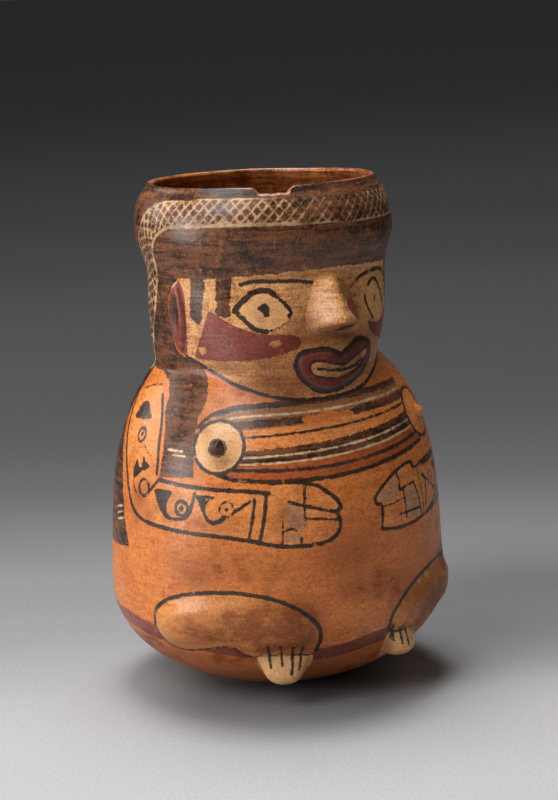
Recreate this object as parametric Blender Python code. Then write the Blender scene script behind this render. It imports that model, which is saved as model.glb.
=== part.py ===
"""Figural beaker: a hand-built pottery cup in the form of a seated figure.

The wall is raised in five clay courses that lap over one another, and the nose, ears,
nipples and feet are pressed into shallow seats in that wall. The figure faces -Y, its left
hand is towards +X, and the cup stands on the floor plane at its own axis.
An azimuth is measured in degrees round the axis from the front, positive to the figure's left.
"""

import math

import bmesh
import bpy
from mathutils import Matrix, Vector

MM = 0.001

# Heights of the clay courses, from the floor up.
BOWL_COURSE = 30 * MM
BELLY_COURSE = 45 * MM
SHOULDER_COURSE = 40 * MM
FACE_COURSE = 34.5 * MM
HEADCLOTH_COURSE = 28.5 * MM

# The turned outline.
STANDING_FLAT_RADIUS = 15 * MM
BELLY_RADIUS = 60 * MM
BELLY_LEVEL = 36 * MM
BELLY_TAPER = 4 * MM
NECK_RADIUS = 40 * MM
FACE_RADIUS = 41.7 * MM
HEADCLOTH_RADIUS = 45.3 * MM
HEADCLOTH_SWELL = 11.5 * MM
HEADCLOTH_TUCK = 3.5 * MM
RIM_RADIUS = 39.2 * MM

# How full the outline's curves are.
TAPER_POWER = 1.3
SHOULDER_POWER = 4.0
CHEEK_POWER = 2.5
BRIM_POWER = 3.0
NOSE_RIDGE_POWER = 1.8

# The face is pressed forward over the neck, down to a chin that lies a little to the figure's right.
CHIN_DROP = 9 * MM
CHIN_AZIMUTH = -10.0
JAW_HALF_ANGLE = 64.0

# Walls, and the lapped seams between courses.
BODY_WALL = 5 * MM
HEAD_WALL = 4 * MM
RIM_LIP = 2.6 * MM
FLOOR_THICKNESS = 7 * MM
INNER_FLOOR_RADIUS = 12 * MM
SEAM_LAP = 6 * MM
SEAM_GAP = 0.45 * MM

# The old chip in the rim.
CHIP_AZIMUTH = -25.0
CHIP_HALF_ANGLE = 12.5
CHIP_DEPTH = 2.2 * MM

# Pressed-on pieces: how deep they seat, and the slip left between them and the wall.
SEAT_DEPTH = 1.2 * MM
SEAT_GAP = 0.3 * MM

NOSE_BELOW_HEADCLOTH = 1.5 * MM
NOSE_LENGTH = 21 * MM
NOSE_WIDTH = 12.5 * MM
NOSE_BRIDGE_WIDTH = 7 * MM
NOSE_PROJECTION = 8.8 * MM

EAR_AZIMUTH = 78.5
EAR_ABOVE_NECK = 18.5 * MM
EAR_LENGTH = 25 * MM
EAR_WIDTH = 8 * MM
EAR_RELIEF = 2.4 * MM
EAR_HOLLOW = 1.3 * MM

RIGHT_NIPPLE_AZIMUTH = -51.5
RIGHT_NIPPLE_BELOW_NECK = 22.8 * MM
LEFT_NIPPLE_AZIMUTH = 44.0
LEFT_NIPPLE_BELOW_NECK = 20 * MM
NIPPLE_WIDTH = 6 * MM
NIPPLE_RELIEF = 2.6 * MM

RIGHT_FOOT_AZIMUTH = -31.0
RIGHT_FOOT_LEVEL = 15.5 * MM
RIGHT_FOOT_WIDTH = 18 * MM
LEFT_FOOT_AZIMUTH = 16.5
LEFT_FOOT_LEVEL = 20.8 * MM
LEFT_FOOT_WIDTH = 14.5 * MM
FOOT_LENGTH = 13 * MM
FOOT_PROJECTION = 6.6 * MM
TOE_COUNT = 5
TOE_GROOVE = 0.7 * MM

# Facets.
TURN_STEPS = 48
CORE_STEPS = 48
LUMP_SEGMENTS = 16
LUMP_RINGS = 10

# Levels that follow from the courses.
BOWL_TOP = BOWL_COURSE
BELLY_TOP = BOWL_TOP + BELLY_COURSE
NECK = BELLY_TOP + SHOULDER_COURSE
HEADCLOTH_EDGE = NECK + FACE_COURSE
RIM = HEADCLOTH_EDGE + HEADCLOTH_COURSE
SWELL_LEVEL = HEADCLOTH_EDGE + HEADCLOTH_SWELL
TUCK_LEVEL = HEADCLOTH_EDGE - HEADCLOTH_TUCK

# Fired slip colours, as linear values, with their roughness.
ORANGE_SLIP = ((0.42, 0.13, 0.035), 0.5)
TAN_SLIP = ((0.55, 0.29, 0.12), 0.5)
DARK_SLIP = ((0.045, 0.028, 0.022), 0.45)
PLUM_SLIP = ((0.12, 0.026, 0.026), 0.5)
CREAM_SLIP = ((0.58, 0.34, 0.17), 0.55)


def clear_scene():
    for thing in list(bpy.data.objects):
        bpy.data.objects.remove(thing, do_unlink=True)


def clamp(value):
    return min(1.0, max(0.0, value))


def ease(value):
    """0 to 1 with level ends."""
    value = clamp(value)
    return value * value * (3 - 2 * value)


def spread(low, high, count):
    """count values from low to high, both ends included."""
    return [low + (high - low) * i / (count - 1) for i in range(count)]


# The turned outline


def body_radius(level):
    """Outside of the bowl, belly and shoulder: an ellipse below the belly, a swelling taper above it."""
    if level < BELLY_LEVEL:
        depth = BELLY_LEVEL / math.sqrt(1 - (STANDING_FLAT_RADIUS / BELLY_RADIUS) ** 2)
        return BELLY_RADIUS * math.sqrt(max(0.0, 1 - ((BELLY_LEVEL - level) / depth) ** 2))
    rise = clamp((level - BELLY_LEVEL) / (NECK - BELLY_LEVEL))
    turn_in = BELLY_RADIUS - NECK_RADIUS - BELLY_TAPER
    return BELLY_RADIUS - BELLY_TAPER * rise**TAPER_POWER - turn_in * rise**SHOULDER_POWER


def head_radius(level):
    """Outside of the head: nearly upright cheeks, then the headcloth's roll drawn in to the rim."""
    if level < TUCK_LEVEL:
        rise = clamp((level - NECK) / (TUCK_LEVEL - NECK))
        return FACE_RADIUS - (FACE_RADIUS - NECK_RADIUS) * (1 - rise) ** CHEEK_POWER
    if level < SWELL_LEVEL:
        swell = ease((level - TUCK_LEVEL) / (SWELL_LEVEL - TUCK_LEVEL))
        return FACE_RADIUS + (HEADCLOTH_RADIUS - FACE_RADIUS) * swell
    draw_in = clamp((level - SWELL_LEVEL) / (RIM - SWELL_LEVEL))
    return HEADCLOTH_RADIUS - (HEADCLOTH_RADIUS - RIM_RADIUS) * draw_in**BRIM_POWER


def neck_line(azimuth):
    """Height of the crease between head and shoulder, which dips under the chin."""
    share = math.cos(math.radians(90 * min(1.0, abs(azimuth - CHIN_AZIMUTH) / JAW_HALF_ANGLE))) ** 2
    return NECK - CHIN_DROP * share


def outer_radius(azimuth, level):
    crease = neck_line(azimuth)
    if level <= crease:
        return body_radius(level)
    chin = body_radius(crease) - NECK_RADIUS
    return head_radius(level) + chin * (1 - ease((level - crease) / (HEADCLOTH_EDGE - crease)))


def wall_thickness(level):
    """Body wall below the neck, thinner head wall above it, thinnest at the lip."""
    above_neck = ease((level - NECK + SEAM_LAP) / (2 * SEAM_LAP))
    towards_lip = ease((level - SWELL_LEVEL) / (RIM - SWELL_LEVEL))
    head = HEAD_WALL + (RIM_LIP - HEAD_WALL) * towards_lip
    return BODY_WALL + (head - BODY_WALL) * above_neck


def inner_radius(level):
    """Inside of the cup, a plain turned shape that doesn't follow the chin."""
    if level < BELLY_LEVEL:
        depth = BELLY_LEVEL - FLOOR_THICKNESS
        return (BELLY_RADIUS - BODY_WALL) * math.sqrt(max(0.0, 1 - ((BELLY_LEVEL - level) / depth) ** 2))
    plain = body_radius(level) if level <= NECK else head_radius(level)
    return plain - wall_thickness(level)


def rim_level(azimuth):
    """Height of the lip, lower across the chip."""
    away = abs(azimuth - CHIP_AZIMUTH) / CHIP_HALF_ANGLE
    return RIM - CHIP_DEPTH * ease(2 * (1 - away))


def on_turn(azimuth, radius, level):
    """The point at that azimuth, distance from the axis and height."""
    turn = math.radians(azimuth)
    return Vector((radius * math.sin(turn), -radius * math.cos(turn), level))


def azimuths():
    return [360 * i / TURN_STEPS - 180 for i in range(TURN_STEPS)]


# Making objects


def slip_material(name, slip):
    colour, roughness = slip
    material = bpy.data.materials.new(name)
    material.use_nodes = True
    shader = material.node_tree.nodes["Principled BSDF"]
    shader.inputs["Base Color"].default_value = (*colour, 1)
    shader.inputs["Roughness"].default_value = roughness
    shader.inputs["Metallic"].default_value = 0
    return material


def finished(name, bm, slip=None):
    """Links a bmesh as an object. One without a slip is a cutter."""
    bmesh.ops.recalc_face_normals(bm, faces=bm.faces)
    for face in bm.faces:
        # Caps, which have many corners, stay flat.
        face.smooth = len(face.verts) <= 4
    mesh = bpy.data.meshes.new(name)
    bm.to_mesh(mesh)
    bm.free()
    thing = bpy.data.objects.new(name, mesh)
    bpy.context.scene.collection.objects.link(thing)
    if slip is None:
        thing.hide_render = True
        thing.display_type = "WIRE"
    else:
        mesh.set_sharp_from_angle(angle=math.radians(40))
        mesh.materials.append(slip_material(f"{name}_slip", slip))
    return thing


def cut(thing, cutter):
    modifier = thing.modifiers.new(f"cut_{cutter.name}", "BOOLEAN")
    modifier.operation = "DIFFERENCE"
    modifier.object = cutter


# The five wall courses


def lofted_ring(bm, profile_at, closed):
    """Joins the profiles of all azimuths into one skin. An open profile leaves a hole at each end.

    Every facet is split from its outer corner to the next azimuth's inner one, so that both sides of a
    seam that dips are split alike and stay clear of each other.
    """
    loops = [[bm.verts.new(point) for point in profile_at(azimuth)] for azimuth in azimuths()]
    count = len(loops[0])
    for here, there in zip(loops, loops[1:] + loops[:1]):
        for i in range(count if closed else count - 1):
            j = (i + 1) % count
            if here[i].co.xy.length >= here[j].co.xy.length:
                bm.faces.new((here[i], there[i], there[j]))
                bm.faces.new((here[i], there[j], here[j]))
            else:
                bm.faces.new((here[i], there[i], here[j]))
                bm.faces.new((there[i], there[j], here[j]))
    return loops


def course_profile(azimuth, low_seam, high_seam, outer_count, inner_count):
    """One course's section: up the outside, over its top lap, down the inside to its lower lap."""
    low = low_seam(azimuth) + SEAM_GAP
    high = high_seam(azimuth)
    outer = [on_turn(azimuth, outer_radius(azimuth, z), z) for z in spread(low, high, outer_count)]
    inner_levels = spread(high + SEAM_LAP, low + SEAM_LAP, inner_count)
    return outer + [on_turn(azimuth, inner_radius(z), z) for z in inner_levels]


def add_course(name, slip, low_seam, high_seam, outer_count, inner_count):
    bm = bmesh.new()

    def profile_at(azimuth):
        return course_profile(azimuth, low_seam, high_seam, outer_count, inner_count)

    lofted_ring(bm, profile_at, closed=True)
    return finished(name, bm, slip)


def add_bowl(name, slip, outer_count, inner_count):
    """The bottom course: a round bowl with a small flat to stand on and a lap round its top."""
    bm = bmesh.new()
    depth = BELLY_LEVEL - FLOOR_THICKNESS
    inner_reach = INNER_FLOOR_RADIUS / (BELLY_RADIUS - BODY_WALL)
    floor_level = BELLY_LEVEL - depth * math.sqrt(1 - inner_reach**2)
    lap_top = BOWL_TOP + SEAM_LAP

    def profile_at(azimuth):
        # Levels gather towards the floor, where the bowl turns fastest.
        outer_levels = [BOWL_TOP * share**2 for share in spread(0, 1, outer_count)]
        inner_levels = [floor_level + (lap_top - floor_level) * share**2 for share in spread(1, 0, inner_count)]
        outer = [on_turn(azimuth, body_radius(z), z) for z in outer_levels]
        return outer + [on_turn(azimuth, inner_radius(z), z) for z in inner_levels]

    loops = lofted_ring(bm, profile_at, closed=False)
    bm.faces.new([loop[0] for loop in loops])
    bm.faces.new([loop[-1] for loop in loops])
    return finished(name, bm, slip)


def add_headcloth(name, slip, outer_count, inner_count):
    """The top course: the rolled headcloth, ending in the cup's rounded lip."""
    bm = bmesh.new()
    lip_round = RIM_LIP / 2

    def profile_at(azimuth):
        low = HEADCLOTH_EDGE + SEAM_GAP
        top = rim_level(azimuth)
        outer_levels = spread(low, top - lip_round, outer_count)
        inner_levels = spread(top - lip_round, low + SEAM_LAP, inner_count)
        outer = [on_turn(azimuth, outer_radius(azimuth, z), z) for z in outer_levels]
        inner = [on_turn(azimuth, inner_radius(z), z) for z in inner_levels]
        outer_lip = outer_radius(azimuth, top - lip_round)
        inner_lip = inner_radius(top - lip_round)
        crown = on_turn(azimuth, (outer_lip + inner_lip) / 2, top)
        return outer + [crown] + inner

    lofted_ring(bm, profile_at, closed=True)
    return finished(name, bm, slip)


def level_seam(level):
    return lambda azimuth: level


# Pieces pressed on to the wall


def add_core(name, depth):
    """A solid filling the outline to a depth under the surface, for trimming the backs of pieces."""
    bm = bmesh.new()

    def profile_at(azimuth):
        levels = [RIM * (i / CORE_STEPS) for i in range(1, CORE_STEPS)]
        return [on_turn(azimuth, outer_radius(azimuth, z) - depth, z) for z in levels]

    loops = lofted_ring(bm, profile_at, closed=False)
    bm.faces.new([loop[0] for loop in loops])
    bm.faces.new([loop[-1] for loop in loops])
    return finished(name, bm)


def seat_frame(azimuth, level):
    """Axes on the wall: X along the turn to the figure's left, Y out of the surface, Z up along it."""
    step = MM
    here = on_turn(azimuth, outer_radius(azimuth, level), level)
    above = on_turn(azimuth, outer_radius(azimuth, level + step), level + step)
    below = on_turn(azimuth, outer_radius(azimuth, level - step), level - step)
    up = (above - below).normalized()
    turn = math.radians(azimuth)
    along = Vector((math.cos(turn), math.sin(turn), 0))
    out = up.cross(along).normalized()
    frame = Matrix((along, out, up)).transposed().to_4x4()
    frame.translation = here
    return frame


def unit_lump():
    bm = bmesh.new()
    bmesh.ops.create_uvsphere(bm, u_segments=LUMP_SEGMENTS, v_segments=LUMP_RINGS, radius=1)
    return bm


def ear_lump(grow):
    """A long almond, hollowed along its middle."""
    bm = unit_lump()
    for vert in bm.verts:
        across, out, along = vert.co
        pinch = 1 - 0.35 * along**2
        hollow = EAR_HOLLOW * max(0.0, 1 - (across / 0.55) ** 2) * max(0.0, 1 - (along / 0.8) ** 2)
        vert.co.x = across * pinch * (EAR_WIDTH / 2 + grow)
        vert.co.y = out * (EAR_RELIEF + grow) - (hollow if out > 0 else 0)
        vert.co.z = along * (EAR_LENGTH / 2 + grow)
    return bm


def nipple_lump(grow):
    bm = unit_lump()
    half = NIPPLE_WIDTH / 2 + grow
    bmesh.ops.scale(bm, verts=bm.verts, vec=(half, NIPPLE_RELIEF + grow, half))
    return bm


def foot_lump(width):
    """Gives the maker of a paw-like foot that stands out most low down and is grooved between the toes."""

    def lump(grow):
        bm = unit_lump()
        for vert in bm.verts:
            across, out, along = vert.co
            lower = ease((0.35 - along) / 0.7)
            ripple = 0.5 - 0.5 * math.cos(math.pi * TOE_COUNT * (across + 1))
            groove = TOE_GROOVE * (1 - ripple) * lower if abs(across) < 0.85 and out > 0 else 0
            taper = 1 - 0.3 * max(0.0, -along)
            stand = 0.6 + 0.4 * ease(0.5 - along)
            vert.co.x = across * taper * (width / 2 + grow)
            vert.co.y = out * (stand * FOOT_PROJECTION + grow) - groove
            vert.co.z = along * (FOOT_LENGTH / 2 + grow)
        return bm

    return lump


def nose_lump(grow):
    """A loft from the narrow bridge, down and out to the tip, and back under the nostrils.

    Each section gives its place along the nose and its shares of the width and projection.
    """
    sections = ((0.0, 0.0, 0.05), (0.22, 0.1, 0.26), (0.45, 0.3, 0.52), (0.66, 0.66, 0.8),
                (0.82, 0.95, 1.0), (0.92, 1.0, 0.92), (1.0, 0.85, 0.5))
    top = HEADCLOTH_EDGE - NOSE_BELOW_HEADCLOTH + grow
    length = NOSE_LENGTH + 2 * grow
    root = 3 * SEAT_DEPTH
    steps = 8
    bm = bmesh.new()
    loops = []
    for along, breadth, reach in sections:
        half = (NOSE_BRIDGE_WIDTH + (NOSE_WIDTH - NOSE_BRIDGE_WIDTH) * breadth) / 2 + grow
        level = top - along * length
        surface = outer_radius(0, level)
        outline = []
        for i in range(steps + 1):
            across = -math.cos(math.pi * i / steps)
            ridge = 1 - abs(across) ** NOSE_RIDGE_POWER
            outline.append((half * across, reach * (NOSE_PROJECTION + grow) * ridge))
        outline += [(half, -root), (-half, -root)]
        loops.append([bm.verts.new((x, -(surface + out), level)) for x, out in outline])
    for here, there in zip(loops, loops[1:]):
        for i in range(len(here)):
            j = (i + 1) % len(here)
            bm.faces.new((here[i], here[j], there[j], there[i]))
    bm.faces.new(loops[0])
    bm.faces.new(loops[-1])
    return bm


def press_on(name, slip, lump, wall, cores, frame=None):
    """Seats a lump in a wall: its back is trimmed to the seat, and the wall gets a pocket round it."""
    piece_core, pocket_core = cores
    piece = finished(name, lump(0), slip)
    pocket = finished(f"{name}_pocket", lump(SEAT_GAP))
    if frame is not None:
        piece.matrix_world = frame
        pocket.matrix_world = frame
    cut(piece, piece_core)
    cut(pocket, pocket_core)
    cut(wall, pocket)
    return piece


def main():
    clear_scene()
    bowl = add_bowl("base_bowl", ORANGE_SLIP, outer_count=9, inner_count=7)
    add_course("belly_wall", ORANGE_SLIP, level_seam(BOWL_TOP), level_seam(BELLY_TOP), 6, 5)
    shoulder = add_course("shoulder_wall", ORANGE_SLIP, level_seam(BELLY_TOP), neck_line, 8, 6)
    face = add_course("face_wall", TAN_SLIP, neck_line, level_seam(HEADCLOTH_EDGE), 8, 5)
    add_headcloth("headcloth_wall", DARK_SLIP, outer_count=9, inner_count=6)

    cores = (add_core("seat_core", SEAT_DEPTH), add_core("pocket_core", SEAT_DEPTH + SEAT_GAP))
    press_on("nose", TAN_SLIP, nose_lump, face, cores)
    for side, sign in (("right", -1), ("left", 1)):
        ear_seat = seat_frame(sign * EAR_AZIMUTH, NECK + EAR_ABOVE_NECK)
        press_on(f"{side}_ear", PLUM_SLIP, ear_lump, face, cores, ear_seat)
    right_breast = seat_frame(RIGHT_NIPPLE_AZIMUTH, NECK - RIGHT_NIPPLE_BELOW_NECK)
    press_on("right_nipple", DARK_SLIP, nipple_lump, shoulder, cores, right_breast)
    left_breast = seat_frame(LEFT_NIPPLE_AZIMUTH, NECK - LEFT_NIPPLE_BELOW_NECK)
    press_on("left_nipple", DARK_SLIP, nipple_lump, shoulder, cores, left_breast)
    right_seat = seat_frame(RIGHT_FOOT_AZIMUTH, RIGHT_FOOT_LEVEL)
    press_on("right_foot", CREAM_SLIP, foot_lump(RIGHT_FOOT_WIDTH), bowl, cores, right_seat)
    left_seat = seat_frame(LEFT_FOOT_AZIMUTH, LEFT_FOOT_LEVEL)
    press_on("left_foot", CREAM_SLIP, foot_lump(LEFT_FOOT_WIDTH), bowl, cores, left_seat)


main()
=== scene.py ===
# %% [markdown]
# # A painted figural beaker
# This lesson dresses a hand-built pottery cup in the form of a seated figure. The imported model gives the
# clay courses and the pressed-on pieces at their real size. Here each gets a dense skin, the uneven surface
# of handwork, and slip paint laid on as brush strokes. Lengths on the cup are millimetres, and those in the
# materials, the floor and the lights are metres. A place on the wall is an azimuth in degrees from the
# front, positive to the figure's left, and a level above the floor.

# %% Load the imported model
import math

import bpy
import numpy as np
from mathutils import Matrix, Vector


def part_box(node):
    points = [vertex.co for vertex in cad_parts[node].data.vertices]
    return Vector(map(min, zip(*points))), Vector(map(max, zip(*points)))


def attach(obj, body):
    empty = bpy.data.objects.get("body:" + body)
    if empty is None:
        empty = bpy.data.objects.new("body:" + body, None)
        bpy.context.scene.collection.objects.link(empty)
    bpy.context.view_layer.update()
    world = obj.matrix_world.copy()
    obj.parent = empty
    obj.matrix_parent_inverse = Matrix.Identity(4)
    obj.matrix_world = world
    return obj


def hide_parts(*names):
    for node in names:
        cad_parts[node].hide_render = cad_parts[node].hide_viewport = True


MM = 0.001
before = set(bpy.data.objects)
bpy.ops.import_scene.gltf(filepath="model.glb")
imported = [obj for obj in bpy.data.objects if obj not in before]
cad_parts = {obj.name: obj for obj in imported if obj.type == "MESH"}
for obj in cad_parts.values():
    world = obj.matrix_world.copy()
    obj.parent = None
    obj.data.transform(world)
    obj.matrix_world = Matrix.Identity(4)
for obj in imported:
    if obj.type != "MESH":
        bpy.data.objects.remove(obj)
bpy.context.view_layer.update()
scene = bpy.context.scene
scene.view_settings.view_transform = "Standard"
print("CAD nodes:", ", ".join(sorted(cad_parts)))

# %% [markdown]
# ## The camera
# The photograph looks slightly down at the cup, with the figure turned to the viewer's right. A camera
# could be placed by eye, but here its distance, height and tilt were fitted to the cup's outline, so they
# are written as plain measurements. A long lens keeps the perspective gentle. The small roll is the lean
# that the cup shows.

# %% Place the camera
FIGURE_TURN = math.radians(31)
CAMERA_DISTANCE = 823
CAMERA_HEIGHT = 246
CAMERA_DOWN = math.radians(10.157)
CAMERA_ASIDE = math.radians(0.182)
CAMERA_ROLL = math.radians(-2.582)
LENS_MM = 105.8
FRAME_TALL_MM = 36

heading = Matrix.Rotation(-FIGURE_TURN, 4, "Z")
bpy.ops.object.camera_add()
camera = bpy.context.object
camera.name = "photo_camera"
camera.data.sensor_fit = "VERTICAL"
camera.data.sensor_height = FRAME_TALL_MM
camera.data.lens = LENS_MM
look = Matrix.Rotation(-CAMERA_ASIDE, 4, "Z") @ Matrix.Rotation(math.pi / 2 - CAMERA_DOWN, 4, "X")
stand = Matrix.Translation((0, -CAMERA_DISTANCE * MM, CAMERA_HEIGHT * MM))
camera.matrix_world = heading @ stand @ look @ Matrix.Rotation(CAMERA_ROLL, 4, "Z")
scene.camera = camera
print("camera at", [round(value, 3) for value in camera.matrix_world.translation])

# %% [markdown]
# ## The turned outline
# A cup like this is raised from clay courses and then scraped and burnished to one smooth outline. The
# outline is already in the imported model, so it is read from there instead of being drawn again: the corners
# of each wall node that lie at the back of the cup, where nothing is pressed on, are its section. A ray
# sent outwards tells the outer corners from the inner ones, because it meets nothing outside the cup.

# %% Read the section at the back
WALL_NODES = ("base_bowl", "belly_wall", "shoulder_wall", "face_wall", "headcloth_wall")
CLOSE_CORNERS = 1.2
ON_SECTION = 0.01
RAY_CLEARANCE = 0.5


def section_corners(name):
    """A wall node's corners at the back, as outer and inner lists of (level, radius)."""
    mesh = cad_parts[name].data
    corners = np.empty(3 * len(mesh.vertices))
    mesh.vertices.foreach_get("co", corners)
    corners = corners.reshape(-1, 3) / MM
    at_back = (np.abs(corners[:, 0]) < ON_SECTION) & (corners[:, 1] > 0)
    outer, inner = [], []
    for radius, level in np.unique(corners[at_back][:, 1:].round(3), axis=0):
        start = Vector((0, radius + RAY_CLEARANCE, level)) * MM
        blocked = scene.ray_cast(bpy.context.view_layer.depsgraph, start, Vector((0, 1, 0)))[0]
        (inner if blocked else outer).append((level, radius))
    return sorted(outer), sorted(inner)


def smooth_curve(corners):
    """A smooth radius-by-level function through corners, without those too close to the last one."""
    kept = [corners[0]]
    for corner in corners[1:]:
        if corner[0] - kept[-1][0] > CLOSE_CORNERS:
            kept.append(corner)
    levels, radii = np.array(kept).T
    slopes = np.gradient(radii, levels)

    def radius_at(level):
        level = np.clip(level, levels[0], levels[-1])
        i = np.clip(np.searchsorted(levels, level) - 1, 0, len(levels) - 2)
        step = levels[i + 1] - levels[i]
        t = (level - levels[i]) / step
        rise = radii[i] * (1 - 3 * t**2 + 2 * t**3) + radii[i + 1] * (3 * t**2 - 2 * t**3)
        return rise + step * (slopes[i] * (t - 2 * t**2 + t**3) + slopes[i + 1] * (t**3 - t**2))

    return radius_at


sections = {name: section_corners(name) for name in WALL_NODES}
body_corners = [corner for name in WALL_NODES[:3] for corner in sections[name][0]]
head_corners = [corner for name in WALL_NODES[3:] for corner in sections[name][0]]
inner_corners = sorted(corner for name in WALL_NODES for corner in sections[name][1])
body_outline = smooth_curve(body_corners)
head_outline = smooth_curve(head_corners[:-1])
inner_outline = smooth_curve(inner_corners)
NECK_LEVEL, NECK_RADIUS = body_corners[-1]
CLOTH_EDGE = sections["face_wall"][0][-1][0]
RIM_LEVEL = head_corners[-1][0]
print(f"neck at {NECK_LEVEL:.1f}, headcloth edge at {CLOTH_EDGE:.1f}, rim at {RIM_LEVEL:.1f}")

# %% [markdown]
# ## The skin
# The outside isn't a plain turned shape: the face is pressed forward over the neck, and a hand leaves slow
# dips and swells in every wall. One function gives the outside radius at any place, so that the wall, the
# pressed-on pieces and the paint all agree. Head and body meet in a soft crease, which a rounded maximum of
# the two outlines gives.

# %% Define the skin
CHIN_AZIMUTH = -10
JAW_HALF_ANGLE = 64
CREASE_ROUNDING = 2.2
JAW_UNDERCUT = 1.5
HAND_WAVE = 0.28
LEFT_DRAW_IN = 1.3
shoulder_slope = (body_corners[-1][1] - body_corners[-2][1]) / (body_corners[-1][0] - body_corners[-2][0])
chin_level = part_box("face_wall")[0][2] / MM
CHIN_DROP = NECK_LEVEL - chin_level


def ease(share):
    """0 to 1 with level ends."""
    share = np.clip(share, 0, 1)
    return share * share * (3 - 2 * share)


def hill(*offsets):
    """A round swelling: 1 where every offset is 0, and next to nothing where one is past 2."""
    return np.exp(-sum(offset**2 for offset in offsets))


def chin_drop(azimuth):
    """How far the crease under the jaw dips at each azimuth."""
    away = np.minimum(1, np.abs(azimuth - CHIN_AZIMUTH) / JAW_HALF_ANGLE)
    return CHIN_DROP * np.cos(np.radians(90 * away)) ** 2


def hand_wave(azimuth, level):
    """The slow unevenness of a hand-built wall, which is drawn in a little on the figure's left."""
    turn = np.radians(azimuth)
    wave = np.sin(2 * turn + level / 31) + 0.7 * np.sin(3 * turn - level / 19 + 1.3)
    wave += 0.45 * np.sin(5 * turn + level / 11 + 0.4) + 0.3 * np.sin(9 * turn - level / 7)
    left_side = ease((azimuth - 5) / 45) * ease((140 - azimuth) / 50)
    draw_in = ease((level - 148) / 25) + hill((level - 116) / 7) + hill((level - 42) / 24)
    return HAND_WAVE * wave * ease(level / 12) - LEFT_DRAW_IN * left_side * draw_in


def skin_radius(azimuth, level):
    """Outside radius of the wall."""
    crease = NECK_LEVEL - chin_drop(azimuth)
    body = body_outline(level) + shoulder_slope * np.maximum(0, level - NECK_LEVEL)
    chin = body_outline(crease) - NECK_RADIUS
    head = head_outline(level) + chin * (1 - ease((level - crease) / (CLOTH_EDGE - crease)))
    head -= JAW_UNDERCUT * np.maximum(0, crease - level)
    near = np.maximum(0, CREASE_ROUNDING - np.abs(body - head)) / CREASE_ROUNDING
    return np.maximum(body, head) + near**2 * CREASE_ROUNDING / 4 + hand_wave(azimuth, level)


def on_turn(azimuth, radius, level):
    """Points at an azimuth, distance from the axis and level."""
    turn = np.radians(azimuth)
    return np.stack([radius * np.sin(turn), -radius * np.cos(turn), level], axis=-1)


def skin_point(azimuth, level):
    """The skin's points at places on the wall."""
    return on_turn(azimuth, skin_radius(azimuth, level), level)


print("chin at radius", round(float(skin_radius(np.array(0.0), np.array(chin_level + 4.0))), 1))

# %% [markdown]
# ## The wall courses
# Each course is one ring of clay. By hand it would be drawn as half a section and spun round the axis, and
# that is what the spin operator does here: a circle primitive gives a closed loop of corners, the corners
# are laid along the section, and the loop is spun. The rows are close together on the outside, because the
# paint is stored on the vertices.

# %% Lay out the sections
OUTER_ROW = 0.7
INNER_ROW = 3.0
FLAT_ROW = 1.5
BOWL_ROWS = 1.6
LIP_ROWS = 10
TUCK = 0.06


def rows(start, end, spacing):
    """Evenly spaced levels from start to end."""
    return np.linspace(start, end, max(2, int(abs(end - start) / spacing) + 1))


def plain_outer(level):
    """The outline at the back, before the jaw and the hand's unevenness."""
    return body_outline(level) if level <= NECK_LEVEL else head_outline(level)


def course_section(index):
    """A course's closed section as (radius, level): up the outside, across the top, down the inside."""
    outer, inner = sections[WALL_NODES[index]]
    last = index == len(WALL_NODES) - 1
    low = 0 if index == 0 else sections[WALL_NODES[index - 1]][0][-1][0]
    inner_low = inner[0][0] if index == 0 else sections[WALL_NODES[index - 1]][1][-1][0]
    inner_high = inner[-1][0]
    high = inner_high if last else outer[-1][0]
    up = list(rows(low, high, OUTER_ROW))
    if index == 0:
        # Near the flat the bowl turns quickly, so its rows are closer together there.
        up = list(high * np.linspace(0, 1, int(BOWL_ROWS * len(up))) ** 2)
    section = [(float(plain_outer(z)), z) for z in up]
    # One more row is tucked under the neighbour, so that the shading runs on across the seam.
    if index > 0:
        section.insert(0, (float(plain_outer(low - OUTER_ROW)) - TUCK, low - OUTER_ROW))
    if not last:
        section.append((float(plain_outer(high + OUTER_ROW)) - TUCK, high + OUTER_ROW))
    else:
        lip = section[-1][0]
        reach = (lip - float(inner_outline(high))) / 2
        for i in range(1, LIP_ROWS):
            sweep = math.pi * i / LIP_ROWS
            section.append((lip - reach * (1 - math.cos(sweep)), high + reach * math.sin(sweep)))
    section += [(float(inner_outline(z)), z) for z in rows(inner_high, inner_low, INNER_ROW)]
    if index == 0:
        flat = [(r, 0.0) for r in rows(0, section[0][0], FLAT_ROW)[:-1]]
        floor = [(r, inner_low) for r in rows(section[-1][0], 0, INNER_ROW)[1:]]
        section = flat + section + floor
    return section


course_sections = {name: course_section(i) for i, name in enumerate(WALL_NODES)}
print("section corners:", [len(section) for section in course_sections.values()])

# %% Spin the courses
SPIN_STEPS = 480
WELD_METRES = 1e-6


def spin_course(name, section):
    """A section spun once round the axis."""
    bpy.ops.object.select_all(action="DESELECT")
    bpy.ops.mesh.primitive_circle_add(vertices=len(section))
    piece = bpy.context.object
    piece.name = name
    corners = [(0, radius * MM, level * MM) for radius, level in section]
    piece.data.vertices.foreach_set("co", np.ravel(corners))
    bpy.ops.object.mode_set(mode="EDIT")
    bpy.ops.mesh.select_all(action="SELECT")
    bpy.ops.mesh.spin(steps=SPIN_STEPS, angle=2 * math.pi, center=(0, 0, 0), axis=(0, 0, 1))
    bpy.ops.mesh.select_all(action="SELECT")
    bpy.ops.mesh.remove_doubles(threshold=WELD_METRES)
    bpy.ops.mesh.delete_loose()
    bpy.ops.mesh.select_all(action="SELECT")
    bpy.ops.mesh.normals_make_consistent(inside=False)
    bpy.ops.object.mode_set(mode="OBJECT")
    return piece


courses = [spin_course(f"{name}_skin", section) for name, section in course_sections.items()]
for piece in courses:
    print(piece.name, len(piece.data.polygons), "faces")

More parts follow.
